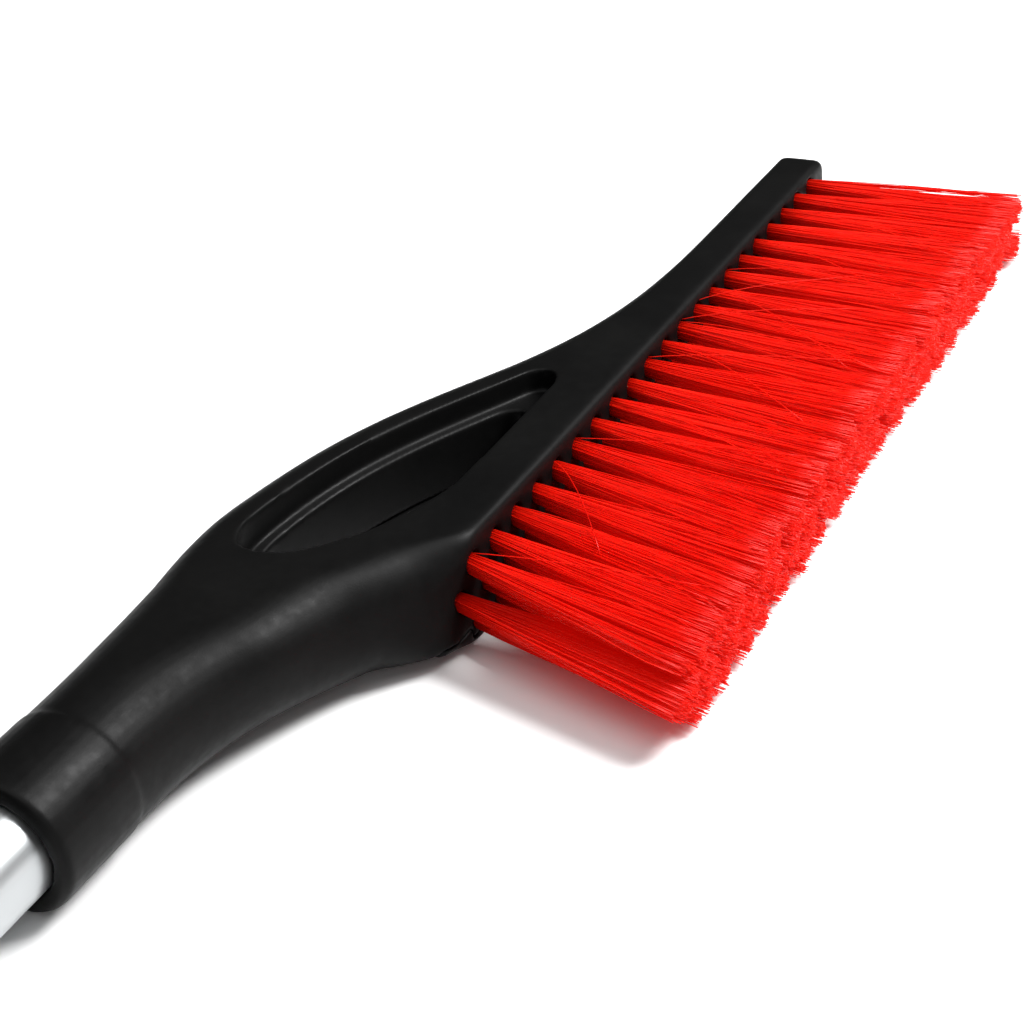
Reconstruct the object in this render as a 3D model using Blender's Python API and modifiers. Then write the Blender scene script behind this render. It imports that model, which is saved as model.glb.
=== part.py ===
"""Snow brush with an ice scraper.

A moulded brush head with a hand hole, three rows of bristle tufts, an aluminium tube, a foam
grip and a screwed-on ice scraper.  The handle's axis is the X axis while the parts are made:
X = 0 is the mouth of the head's sleeve, +X runs along the brush, the bristles point to -Y and
+Z is up.  Everything hangs on one empty, which puts the origin under the middle of the tool.
"""
import math

import bmesh
import bpy
from mathutils import Matrix, Vector

MM = 0.001

# Fits
GAP = 0.3 * MM                     # clearance between pieces that touch
CUT = 5.0 * MM                     # how far a cutter runs past the face it opens

# Brush head: sleeve, neck and beam
SLEEVE_WALL = 3.4 * MM             # around the tube
COLLAR_STEP = 0.3 * MM             # rim band at the sleeve's mouth, proud of the sleeve
COLLAR_LENGTH = 23.0 * MM
SLEEVE_LENGTH = 28.0 * MM          # straight stretch before the neck starts to sweep
NECK_LENGTH = 78.0 * MM            # sweep from the sleeve to the beam's bristle face
BRUSH_OFFSET = 41.4 * MM           # handle axis to bristle face
BEAM_WIDTH = 13.0 * MM
BEAM_TOP_NEAR = 11.0 * MM          # top face above the handle axis, where the beam starts
BEAM_TOP_FAR = 8.0 * MM            # the same at the beam's free end
CROWN_EASE = 20.0 * MM             # how far into the beam the sleeve's crown eases down
HEAD_BOTTOM = -15.3 * MM           # flat sole of the head
NECK_BOTTOM = -12.0 * MM           # underside of the neck, a step above the sole
NECK_RISE = 0.5                    # share of the neck over which its underside rises
NECK_PULLS = (0.35, 0.4)           # lengths of the sweep's two handles, as shares of the sweep
NECK_STEEPNESS = 1.235             # slope of the sweep's end against its average slope
ARCH_BULGE = 17.9 * MM             # outer side of the hand hole's arch, behind the axis
ARCH_WIDTH = 10.3 * MM             # bar of the arch behind the hand hole
ARCH_PEAK = 6.0 * MM               # widest point of the arch, past the hole's near end
ARCH_SWELL = 32.0 * MM             # pull that keeps the sleeve straight before the arch swells
ARCH_RUN = 18.0 * MM               # pull on both sides of the widest point
ARCH_DROP = 12.0 * MM              # pull that brings the arch down before the hole's far end
ARCH_TAIL = 72.0 * MM              # from the hole's far end to where the arch joins the beam
ARCH_FADE_START = 12.0 * MM        # before the hole's far end, where the arch's edge tightens
ARCH_FADE_LENGTH = 80.0 * MM
EDGE_RADIUS = 2.2 * MM             # small edges of the beam
LOW_RADIUS = 4.6 * MM              # neck's lower front edge where it meets the cover
LOW_EDGE_LENGTH = 17.0 * MM        # before the cover's edge, over which that edge tightens
LOW_EDGE_RUN = 11.0 * MM           # past it, over which it tightens to the beam's
CREST_RADIUS = 8.5 * MM            # neck's upper front edge
CREST_END = 7.0 * MM               # how far into the beam the crest has become its sharp edge
CREST_FADE = 17.0 * MM             # length over which it does so
FACE_LEAN = 7.0 * MM               # how far the neck's front face leans back at its top
FACE_PAST = 2.1 * MM               # how far the leaning face runs past the bristle face
CORNER_EASE = 1.0 * MM             # softness of the corner where the two faces meet
LEAN_START = 30.0 * MM             # from the sleeve to where the face starts to lean
LEAN_FADE = 26.0 * MM
ARCH_RADIUS = 7.5 * MM             # big rounding along the arch
MOUTH_ROUNDING = 1.6 * MM
END_ROUNDING = 3.0 * MM
SOCKET_DEPTH = 52.0 * MM

# Hand hole
HOLE_START = 86.0 * MM             # end of the hole nearest the handle
HOLE_END = 190.0 * MM
HOLE_BLEND = 42.0 * MM             # length of the round end nearest the handle
HOLE_TIP = 10.0 * MM               # length of the small round end
HOLE_FIRST = 0.35                  # share of the blend where the hole's back line starts
HOLE_LAST = 0.9                    # share of the tip's length where the back line ends
TIP_PULLS = (0.54, 0.26, 0.6, 0.4) # handles of the small round end, as shares of its length
BLEND_PULLS = (0.1, 0.25, 0.2)     # handles of the big round end, as shares of the blend
BLEND_RISE = 1.6 * MM
HOLE_FRONT_WALL = 13.8 * MM        # beam between the bristle face and the hole
LEDGE_HEIGHT = 4.2 * MM            # step in the hole's wall, above the handle axis
LEDGE_WIDTH = 2.6 * MM
COVER_HOLE_INSET = 3.3 * MM

# Underside cover
COVER_EDGE = 10.0 * MM             # the cover's edge stands this far before the beam
COVER_LIP = 0.8 * MM               # step at the cover's edge, below the neck
SOLE_EASE = 14.0 * MM              # from the cover's edge to where its underside is flat
COVER_THICK = 4.8 * MM             # below the neck and the hand hole
COVER_THIN = 2.0 * MM              # below the bristle holes
BORE_WALL = 1.2 * MM               # head material before the first bristle hole
NECK_SCREW_INSET = 5.5 * MM        # neck screw behind the cover's edge
NECK_SCREW_SIDE = 4.0 * MM         # and behind the hand hole's front edge
BEAM_SCREW_INSET = 3.4 * MM        # beam screws from the beam's back
ARCH_SCREW_SHARE = 0.45            # arch screw's place along the hand hole

# Bristles
TUFT_PITCH = 10.2 * MM
TUFTS_PER_GROUP = 3
GROUPS_PER_ROW = 7
FIRST_MARGIN = 3.0 * MM            # beam's start to the first tuft of the top row
END_MARGIN = 12.2 * MM             # last tuft to the beam's end
TUFT_RADIUS = 2.1 * MM
TUFT_DEPTH = 8.0 * MM              # drilled depth in the beam
BRISTLE_LENGTH = 56.5 * MM
MERGE_LENGTH = 13.0 * MM           # free length at which neighbouring tufts meet
TIP_SPREAD = 1.095                 # widening of the bristle field from roots to tips
UPRIGHT_SHARE = 0.64               # where along the rows the tufts stand square to the beam
TIP_THICKNESS = 4.9 * MM           # each row's sheet of bristles
STEM_OVERLAP = 2.0 * MM            # how far a tuft's round stem runs into the sheet
STEM_WIDTH = 0.44                  # half width of a stem's end, in pitches
STEM_HEIGHT = 0.42                 # half height of a stem's end, in sheet thicknesses
ROWS = (                           # name, height of roots, height of tips, shift in pitches
    ("top", 4.1 * MM, 0.5 * MM, 0.0),
    ("middle", -2.7 * MM, -4.7 * MM, -0.5),
    ("bottom", -9.5 * MM, -9.9 * MM, 0.0),
)

# Handle
TUBE_RADIUS = 11.0 * MM
TUBE_WALL = 1.2 * MM
TUBE_EXPOSED = 64.0 * MM           # bare tube between the head and the grip
GRIP_LENGTH = 166.0 * MM
GRIP_WALL = 3.7 * MM               # foam around the tube
GRIP_ROUNDING = 3.5 * MM
GROOVE_DEPTH = 0.9 * MM
GROOVE_WIDTH = 3.0 * MM
GROOVE_FLOOR = 0.2                 # half width of a groove's floor, as a share of its width
GROOVES = 3

# Ice scraper
SOCKET_LENGTH = 42.0 * MM          # round part over the tube
SOCKET_WALL = 3.3 * MM             # around the tube
SCRAPER_TUBE_DEPTH = 34.0 * MM
FLARE_LENGTH = 44.0 * MM           # from the round part to the blade's slot
FLARE_WIDTH = 98.0 * MM
FLARE_THICKNESS = 11.0 * MM
BLADE_WIDTH = 104.0 * MM
BLADE_ROOT_WIDTH = 90.0 * MM
BLADE_THICKNESS = 3.2 * MM
BLADE_REACH = 42.0 * MM            # blade beyond the flare
BLADE_INSERT = 18.0 * MM           # blade inside the slot
BLADE_CORNER = 4.0 * MM
BLADE_STRAIGHT = 4.0 * MM          # parallel sides past the slot, before the blade splays
BLADE_EDGE = 0.7 * MM
BLADE_BEVEL = 9.0 * MM
TOOTH_COUNT = 9
TOOTH_SIZE = 5.0 * MM
TOOTH_HEIGHT = 1.6 * MM
TOOTH_SETBACK = 2.0 * MM           # teeth behind the bevel
TOOTH_MARGIN = 6.0 * MM            # free strip beside the outer teeth
BLADE_SCREW_SHARE = 0.3            # blade screws off the middle, in flare widths
FLARE_WIDTH_SHARE = 0.86           # share of the flare over which it widens
FLARE_HEIGHT_SHARE = 0.7           # share over which it flattens
FLARE_STATIONS = 9

# Screws
SCREW_HEAD_RADIUS = 2.8 * MM
SCREW_HEAD_HEIGHT = 1.1 * MM
SCREW_RADIUS = 1.25 * MM
SCREW_BITE = 5.4 * MM              # length past the seat where the cover is thin
TUBE_SCREW_REACH = 2.5 * MM        # tube screws past the tube's outer face
BLADE_SCREW_WALL = 1.3 * MM        # holder left above the blade screws' tips
SCREW_HEAD_EDGE = 0.35             # height of the head's cylindrical edge, as a share
SCREW_HEAD_FACE = 0.8              # width of the head's flat face, as a share
RECESS_DEPTH = 0.6 * MM
RECESS_ARM = 1.7 * MM
RECESS_WIDTH = 0.7 * MM
RECESS_STEP = 0.1 * MM             # one arm of the cross is this much deeper
BEAM_SCREW_TUFTS = (8, 13, 18)     # beam screws sit half a pitch after these tufts

# Smoothness
CORNER_STEPS = 5
FULL_ROUND = 0.97                  # largest share of a half side that a corner rounds off
STATION_SPACING = 9.0 * MM
TURN_STEPS = 28
TUFT_SIDES = 6
BORE_SIDES = 8
SCREW_SIDES = 12
BORE_TURN = math.radians(5)        # keeps the corners of crossing bores apart

# Sizes that follow
SLEEVE_RADIUS = TUBE_RADIUS + GAP + SLEEVE_WALL
COLLAR_RADIUS = SLEEVE_RADIUS + COLLAR_STEP
GRIP_RADIUS = TUBE_RADIUS + GAP + GRIP_WALL
SOCKET_RADIUS = TUBE_RADIUS + GAP + SOCKET_WALL
BEAM_START = SLEEVE_LENGTH + NECK_LENGTH
COVER_START = BEAM_START - COVER_EDGE
FIRST_TUFT = BEAM_START + FIRST_MARGIN
TUFTS_PER_ROW = TUFTS_PER_GROUP * GROUPS_PER_ROW
LAST_TUFT = FIRST_TUFT + (TUFTS_PER_ROW - 1) * TUFT_PITCH
HEAD_LENGTH = LAST_TUFT + END_MARGIN
BEAM_FRONT = -BRUSH_OFFSET
BEAM_BACK = BEAM_FRONT + BEAM_WIDTH
HOLE_FRONT = BEAM_FRONT + HOLE_FRONT_WALL
SPREAD_CENTRE = FIRST_TUFT + UPRIGHT_SHARE * (LAST_TUFT - FIRST_TUFT)
TUFT_BORE = TUFT_RADIUS + GAP
THIN_START = FIRST_TUFT - TUFT_BORE - BORE_WALL
GRIP_END = -TUBE_EXPOSED - GRIP_LENGTH
SCRAPER_START = GRIP_END - GAP
FLARE_START = SCRAPER_START - SOCKET_LENGTH
FLARE_END = FLARE_START - FLARE_LENGTH
TUBE_START = SCRAPER_START - SCRAPER_TUBE_DEPTH
TUBE_END = SOCKET_DEPTH - GAP
SCREW_BORE = SCREW_RADIUS + GAP
SCREW_SEAT = SCREW_HEAD_HEIGHT + GAP


# ---------------------------------------------------------------- scene helpers

def clear_scene():
    """Remove whatever the file opened with."""
    for obj in list(bpy.data.objects):
        bpy.data.objects.remove(obj, do_unlink=True)


def new_collection(name):
    """A collection of the scene."""
    collection = bpy.data.collections.new(name)
    bpy.context.scene.collection.children.link(collection)
    return collection


def new_material(name, color, roughness, metallic=0.0):
    """A Principled material with one colour."""
    material = bpy.data.materials.new(name)
    material.use_nodes = True
    shader = material.node_tree.nodes["Principled BSDF"]
    shader.inputs["Base Color"].default_value = (*color, 1.0)
    shader.inputs["Roughness"].default_value = roughness
    shader.inputs["Metallic"].default_value = metallic
    return material


def mesh_object(name, mesh, material=None):
    """A mesh as a part of the tool, hung on the tool's empty, or as a cutter."""
    obj = bpy.data.objects.new(name, mesh)
    if material is None:
        CUTTERS.objects.link(obj)
        obj.hide_render = True
        obj.display_type = "WIRE"
    else:
        PARTS.objects.link(obj)
        if not mesh.materials:
            mesh.materials.append(material)
    obj.parent = FRAME
    return obj


def shade(obj, angle=math.radians(35)):
    """Smooth shading with sharp edges where the faces turn quickly."""
    obj.data.shade_smooth()
    obj.data.set_sharp_from_angle(angle=angle)


def bm_mesh(name, bm):
    """A mesh from a bmesh whose faces are turned outwards."""
    bmesh.ops.recalc_face_normals(bm, faces=bm.faces)
    mesh = bpy.data.meshes.new(name)
    bm.to_mesh(mesh)
    bm.free()
    return mesh


def boolean(obj, cutter, operation="DIFFERENCE"):
    """Cut, join or intersect an object with another."""
    modifier = obj.modifiers.new(cutter.name, "BOOLEAN")
    modifier.operation = operation
    modifier.solver = "EXACT"
    modifier.object = cutter


# ---------------------------------------------------------------- shape helpers

def smooth_step(value):
    """0 before the step, 1 after it, and an S between."""
    value = min(max(value, 0.0), 1.0)
    return value * value * (3.0 - 2.0 * value)


def mix(start, end, share):
    """The value at a share of the way from start to end."""
    return start + (end - start) * share


def bezier(p0, p1, p2, p3, steps):
    """Points along a cubic curve, the last one left out."""
    points = []
    for index in range(steps):
        t = index / steps
        s = 1.0 - t
        weights = (s ** 3, 3 * s * s * t, 3 * s * t * t, t ** 3)
        points.append(tuple(
            sum(w * p[axis] for w, p in zip(weights, (p0, p1, p2, p3))) for axis in (0, 1)))
    return points


def line_height(points, x):
    """Height of a polyline at x, level beyond its ends."""
    if x <= points[0][0]:
        return points[0][1]
    for (x0, y0), (x1, y1) in zip(points, points[1:]):
        if x <= x1:
            return mix(y0, y1, (x - x0) / (x1 - x0))
    return points[-1][1]


def offset_line(points, distance):
    """An open polyline moved sideways to its right."""
    moved = []
    for index, (x, y) in enumerate(points):
        before = points[max(index - 1, 0)]
        after = points[min(index + 1, len(points) - 1)]
        along = Vector((after[0] - before[0], after[1] - before[1])).normalized()
        moved.append((x + along.y * distance, y - along.x * distance))
    return moved


def lofted_mesh(name, rings):
    """A closed body through rings of equal point counts, with flat ends."""
    bm = bmesh.new()
    loops = [[bm.verts.new(point) for point in ring] for ring in rings]
    count = len(loops[0])
    for near, far in zip(loops, loops[1:]):
        for index in range(count):
            following = (index + 1) % count
            bm.faces.new((near[index], near[following], far[following], far[index]))
    bm.faces.new(loops[0])
    bm.faces.new(loops[-1])
    return bm_mesh(name, bm)


def rounded_ring(x, front, back, bottom, top, radii):
    """A rounded rectangle across X; radii start at bottom front and go round by the back."""
    corners = (
        (front, bottom, 1, 1, math.pi),
        (back, bottom, -1, 1, 1.5 * math.pi),
        (back, top, -1, -1, 0.0),
        (front, top, 1, -1, 0.5 * math.pi),
    )
    largest = FULL_ROUND * min(back - front, top - bottom) / 2
    ring = []
    for (y, z, side_y, side_z, start), radius in zip(corners, radii):
        radius = min(radius, largest)
        centre_y = y + side_y * radius
        centre_z = z + side_z * radius
        for step in range(CORNER_STEPS + 1):
            angle = start + 0.5 * math.pi * step / CORNER_STEPS
            ring.append((x, centre_y + radius * math.cos(angle), centre_z + radius * math.sin(angle)))
    return ring


def prism(name, outline, bottom, top):
    """A flat outline given a thickness, as a cutter."""
    curve = bpy.data.curves.new(name, "CURVE")
    curve.dimensions = "2D"
    curve.fill_mode = "BOTH"
    curve.extrude = (top - bottom) / 2
    spline = curve.splines.new("POLY")
    spline.points.add(len(outline) - 1)
    for point, (x, y) in zip(spline.points, outline):
        point.co = (x, y, 0.0, 1.0)
    spline.use_cyclic_u = True
    source = bpy.data.objects.new(name + "_outline", curve)
    CUTTERS.objects.link(source)
    bpy.context.view_layer.update()
    evaluated = source.evaluated_get(bpy.context.evaluated_depsgraph_get())
    mesh = bpy.data.meshes.new_from_object(evaluated)
    bpy.data.objects.remove(source)
    bm = bmesh.new()
    bm.from_mesh(mesh)
    bmesh.ops.remove_doubles(bm, verts=bm.verts, dist=0.00001)
    bmesh.ops.translate(bm, verts=bm.verts, vec=(0.0, 0.0, (top + bottom) / 2))
    bpy.data.meshes.remove(mesh)
    return bm_mesh(name, bm)


def box_mesh(name, low, high):
    """A box between two corners."""
    bm = bmesh.new()
    bmesh.ops.create_cube(bm, size=1.0)
    size = Vector(high) - Vector(low)
    middle = (Vector(high) + Vector(low)) / 2
    bmesh.ops.scale(bm, vec=size, verts=bm.verts)
    bmesh.ops.translate(bm, vec=middle, verts=bm.verts)
    return bm_mesh(name, bm)


def turned(name, profile, material, closed=False, steps=TURN_STEPS):
    """A profile of (radius, height) points turned about Z, running down its outer side."""
    bm = bmesh.new()
    verts = [bm.verts.new((radius, 0.0, height)) for radius, height in profile]
    for first, second in zip(verts, verts[1:]):
        bm.edges.new((first, second))
    if closed:
        bm.edges.new((verts[-1], verts[0]))
    mesh = bpy.data.meshes.new(name)
    bm.to_mesh(mesh)
    bm.free()
    obj = mesh_object(name, mesh, material)
    screw = obj.modifiers.new("turn", "SCREW")
    screw.steps = steps
    screw.render_steps = steps
    screw.use_merge_vertices = True
    screw.merge_threshold = 0.00005
    screw.use_smooth_shade = True
    return obj


def arc(centre, radius, start, end, steps):
    """Points of an arc as (radius, height), angles in degrees."""
    points = []
    for index in range(steps + 1):
        angle = math.radians(mix(start, end, index / steps))
        points.append((centre[0] + radius * math.cos(angle), centre[1] + radius * math.sin(angle)))
    return points


# ---------------------------------------------------------------- head outlines

def back_line():
    """Outer side of the arch: from the sleeve round the hand hole to the beam's back."""
    peak = (HOLE_START + ARCH_PEAK, ARCH_BULGE)
    tail = (HOLE_END + ARCH_TAIL, BEAM_BACK)
    swell = bezier((SLEEVE_LENGTH, SLEEVE_RADIUS), (SLEEVE_LENGTH + ARCH_SWELL, SLEEVE_RADIUS),
                   (peak[0] - ARCH_RUN, ARCH_BULGE), peak, 8)
    drop = bezier(peak, (HOLE_END - ARCH_RUN, ARCH_BULGE), (HOLE_END - ARCH_DROP, BEAM_BACK), tail, 28)
    return swell + drop + [tail]


def front_line():
    """Foot of the neck's front face: from the sleeve to behind the bristle face, which cuts it off."""
    end = (BEAM_START + CREST_END, BEAM_FRONT - FACE_LEAN - FACE_PAST)
    run = end[0] - SLEEVE_LENGTH
    slope = NECK_STEEPNESS * (end[1] + SLEEVE_RADIUS) / run
    near, far = (share * run for share in NECK_PULLS)
    sweep = bezier((SLEEVE_LENGTH, -SLEEVE_RADIUS), (SLEEVE_LENGTH + near, -SLEEVE_RADIUS),
                   (end[0] - far, end[1] - slope * far), end, 24)
    return sweep + [end]


def top_height(x):
    """Top of the head: the sleeve's crown easing down to the sloping beam."""
    beam = mix(BEAM_TOP_NEAR, BEAM_TOP_FAR, (x - BEAM_START) / (HEAD_LENGTH - BEAM_START))
    share = smooth_step((x - SLEEVE_LENGTH) / (NECK_LENGTH + CROWN_EASE))
    return mix(SLEEVE_RADIUS, beam, share)


def bottom_height(x):
    """Underside: the neck's, then a lip at the cover's edge and the ease down to the flat sole."""
    if x > COVER_START - GAP / 2:
        return mix(NECK_BOTTOM - COVER_LIP, HEAD_BOTTOM, smooth_step((x - COVER_START) / SOLE_EASE))
    return mix(-SLEEVE_RADIUS, NECK_BOTTOM, smooth_step((x - SLEEVE_LENGTH) / (NECK_RISE * NECK_LENGTH)))


def end_inset(x):
    """How far the section draws in at the rounded mouth and at the rounded free end."""
    inset = 0.0
    if x < MOUTH_ROUNDING:
        inset = MOUTH_ROUNDING - math.sqrt(MOUTH_ROUNDING ** 2 - (MOUTH_ROUNDING - x) ** 2)
    if x > HEAD_LENGTH - END_ROUNDING:
        reach = x - (HEAD_LENGTH - END_ROUNDING)
        inset = END_ROUNDING - math.sqrt(max(END_ROUNDING ** 2 - reach ** 2, 0.0))
    return inset


def eased(depth):
    """A depth that fades softly to nothing below zero."""
    if depth >= CORNER_EASE:
        return depth
    return max(depth + CORNER_EASE, 0.0) ** 2 / (4 * CORNER_EASE)


def lean_back(ring, foot, face, back, bottom, top, lean):
    """The section with the neck's face leaning back from its foot, cut off by the bristle face."""
    front = max(foot, face)
    leaning = []
    for x, y, z in ring:
        share = (z - bottom) / (top - bottom)
        shift = face + eased(foot + lean * share - face) - front
        leaning.append((x, y + shift * (back - y) / (back - front), z))
    return leaning


def head_ring(x, front_points, back_points):
    """The head's section at x."""
    if x < COLLAR_LENGTH:
        radius = COLLAR_RADIUS - end_inset(x)
        return rounded_ring(x, -radius, radius, -radius, radius, (radius,) * 4)
    inset = end_inset(x)
    foot = line_height(front_points, x) + inset
    face = BEAM_FRONT + inset
    back = line_height(back_points, x) - inset
    bottom = bottom_height(x) + inset
    top = top_height(x) - inset
    neck = smooth_step((x - SLEEVE_LENGTH) / NECK_LENGTH)
    past_arch = smooth_step((x - HOLE_END + ARCH_FADE_START) / ARCH_FADE_LENGTH)
    to_cover = smooth_step((x - COVER_START) / LOW_EDGE_LENGTH + 1)
    low_front = mix(mix(SLEEVE_RADIUS, LOW_RADIUS, to_cover), EDGE_RADIUS,
                    smooth_step((x - COVER_START) / LOW_EDGE_RUN))
    past_crest = smooth_step((x - BEAM_START - CREST_END) / CREST_FADE + 1)
    high_front = mix(mix(SLEEVE_RADIUS, CREST_RADIUS, neck), EDGE_RADIUS, past_crest)
    behind = mix(mix(SLEEVE_RADIUS, ARCH_RADIUS, neck ** 2), EDGE_RADIUS, past_arch)
    ring = rounded_ring(x, max(foot, face), back, bottom, top, (low_front, behind, behind, high_front))
    lean = FACE_LEAN * smooth_step((x - SLEEVE_LENGTH - LEAN_START) / LEAN_FADE)
    return lean_back(ring, foot, face, back, bottom, top, lean)

def head_stations():
    """Where the head's sections stand: even steps, closer at the step, mouth and free end."""
    def quarter(length):
        return [length * (1 - math.cos(math.radians(angle))) for angle in (0, 30, 60, 90)]
    mouth = quarter(MOUTH_ROUNDING)
    free_end = [HEAD_LENGTH - value for value in reversed(quarter(END_ROUNDING))]
    start = COLLAR_LENGTH + GAP
    count = math.ceil((free_end[0] - start) / STATION_SPACING)
    even = [mix(start, free_end[0], index / count) for index in range(count)]
    at_step = [COVER_START - 0.6 * GAP, COVER_START - 0.4 * GAP]
    even = [x for x in even if abs(x - COVER_START) > STATION_SPACING / 4]
    return sorted(mouth + [COLLAR_LENGTH - GAP] + even + at_step + free_end)


def head_shell(name, material):
    """The head's outer form."""
    front_points = front_line()
    back_points = back_line()
    rings = [head_ring(x, front_points, back_points) for x in head_stations()]
    return mesh_object(name, lofted_mesh(name, rings), material)


def hole_outline(inset=0.0):
    """Outline of the hand hole: straight along the beam, round at both ends, then the arch."""
    front = HOLE_FRONT + inset
    near_x = HOLE_START + inset
    arch = offset_line(back_line(), ARCH_WIDTH + inset)
    arch = [point for point in arch
            if point[0] > near_x + HOLE_FIRST * HOLE_BLEND and point[1] > front + HOLE_LAST * HOLE_TIP]
    first, last = arch[0], arch[-1]
    ahead, down, past, before = (share * HOLE_TIP for share in TIP_PULLS)
    tip_end = (last[0] - before, front)
    tip = bezier(last, (last[0] + ahead, last[1] - down), (last[0] + past, front), tip_end, 8)
    overshoot, share, retreat = BLEND_PULLS
    round_end = bezier((near_x + HOLE_BLEND, front),
                       (near_x - overshoot * HOLE_BLEND, mix(front, first[1], share)),
                       (near_x - retreat * HOLE_BLEND, first[1] + BLEND_RISE), first, 12)
    return arch + tip[1:] + [tip_end] + round_end


# ---------------------------------------------------------------- head parts

def screw_places():
    """Cover screws as (name, x, y, height of the cover's underside and of its top there)."""
    thick_top = HEAD_BOTTOM + COVER_THICK
    thin_top = HEAD_BOTTOM + COVER_THIN
    arch_line = offset_line(back_line(), ARCH_WIDTH / 2 + LEDGE_WIDTH / 2)
    arch_x = mix(HOLE_START, HOLE_END, ARCH_SCREW_SHARE)
    neck_x = COVER_START + NECK_SCREW_INSET
    neck_under = bottom_height(neck_x - SCREW_HEAD_RADIUS)
    places = [
        ("cover_screw_neck", neck_x, HOLE_FRONT + NECK_SCREW_SIDE, neck_under, thick_top),
        ("cover_screw_arch", arch_x, line_height(arch_line, arch_x), HEAD_BOTTOM, thick_top),
    ]
    for number, tuft in enumerate(BEAM_SCREW_TUFTS, start=1):
        x = FIRST_TUFT + (tuft + 0.5) * TUFT_PITCH
        y = BEAM_BACK - BEAM_SCREW_INSET
        places.append((f"cover_screw_beam_{number}", x, y, HEAD_BOTTOM, thin_top))
    return places


def cover_space(name, clearance):
    """The space that the cover fills below the head, deeper away from the bristle holes."""
    floor = HEAD_BOTTOM - CUT
    side = BRUSH_OFFSET + 2 * CUT
    thick = box_mesh(name, (COVER_START - clearance, -side, floor),
                     (HEAD_LENGTH + CUT, side, HEAD_BOTTOM + COVER_THICK + clearance))
    kept = box_mesh(name + "_beam", (THIN_START + clearance, -side, HEAD_BOTTOM + COVER_THIN + clearance),
                    (HEAD_LENGTH + 2 * CUT, HOLE_FRONT - clearance, HEAD_BOTTOM + COVER_THICK + CUT))
    space = mesh_object(name, thick)
    boolean(space, mesh_object(name + "_beam", kept))
    return space


def tuft_bores():
    """Blind bores for every tuft, as one cutter."""
    bm = bmesh.new()
    depth = TUFT_DEPTH + CUT
    turn = Matrix.Rotation(math.radians(90), 4, "X")
    for _, height, _, shift in ROWS:
        for index in range(TUFTS_PER_ROW):
            x = FIRST_TUFT + (index + shift) * TUFT_PITCH
            place = Matrix.Translation((x, BEAM_FRONT + TUFT_DEPTH - depth / 2, height))
            bmesh.ops.create_cone(bm, cap_ends=True, segments=BORE_SIDES, radius1=TUFT_BORE,
                                  radius2=TUFT_BORE, depth=depth, matrix=place @ turn)
    return mesh_object("tuft_bores", bm_mesh("tuft_bores", bm))


def cylinder_cutter(name, radius, start, end, segments=SCREW_SIDES):
    """A round cutter between two points."""
    start, end = Vector(start), Vector(end)
    axis = end - start
    bm = bmesh.new()
    turn = axis.to_track_quat("Z", "Y").to_matrix().to_4x4() @ Matrix.Rotation(BORE_TURN, 4, "Z")
    place = Matrix.Translation((start + end) / 2) @ turn
    bmesh.ops.create_cone(bm, cap_ends=True, segments=segments, radius1=radius, radius2=radius,
                          depth=axis.length, matrix=place)
    return mesh_object(name, bm_mesh(name, bm))


def make_head():
    """Head body and underside cover, with the hand hole, bores and screw holes."""
    rim = hole_outline()
    inner = hole_outline(LEDGE_WIDTH)
    high = SLEEVE_RADIUS + CUT
    low = HEAD_BOTTOM - CUT

    body = head_shell("head_body", BLACK_PLASTIC)
    boolean(body, cover_space("cover_room", GAP))
    boolean(body, mesh_object("hole_upper", prism("hole_upper", rim, LEDGE_HEIGHT, high)))
    boolean(body, mesh_object("hole_lower", prism("hole_lower", inner, low, high)))
    boolean(body, cylinder_cutter("tube_bore", TUBE_RADIUS + GAP, (-CUT, 0, 0), (SOCKET_DEPTH, 0, 0),
                                  TURN_STEPS))
    boolean(body, tuft_bores())

    cover = head_shell("head_cover", BLACK_PLASTIC)
    boolean(cover, cover_space("cover_form", 0.0), "INTERSECT")
    in_cover = hole_outline(COVER_HOLE_INSET)
    boolean(cover, mesh_object("hole_cover", prism("hole_cover", in_cover, low, high)))

    for name, x, y, under, cover_top in screw_places():
        seat = under + SCREW_SEAT
        bite = SCREW_BITE + cover_top - under - COVER_THIN
        pilot_top = seat + bite + 2 * GAP
        boolean(body, cylinder_cutter(name + "_pilot", SCREW_BORE, (x, y, low), (x, y, pilot_top)))
        boolean(cover, cylinder_cutter(name + "_hole", SCREW_BORE, (x, y, low), (x, y, high)))
        boolean(cover, cylinder_cutter(name + "_seat", SCREW_HEAD_RADIUS + GAP, (x, y, low), (x, y, seat)))
        make_screw(name, (x, y, under + GAP), bite)

    x = COLLAR_LENGTH / 2
    cut_screw_hole(body, "sleeve_screw", x, COLLAR_RADIUS)
    shade(body)
    shade(cover)


def cut_screw_hole(obj, name, x, radius):
    """A radial screw hole with a seat, from below into a sleeve."""
    seat = -radius + SCREW_SEAT
    boolean(obj, cylinder_cutter(name + "_hole", SCREW_BORE, (x, 0, -radius - CUT), (x, 0, 0)))
    boolean(obj, cylinder_cutter(name + "_seat", SCREW_HEAD_RADIUS + GAP, (x, 0, -radius - CUT), (x, 0, seat)))


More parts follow.
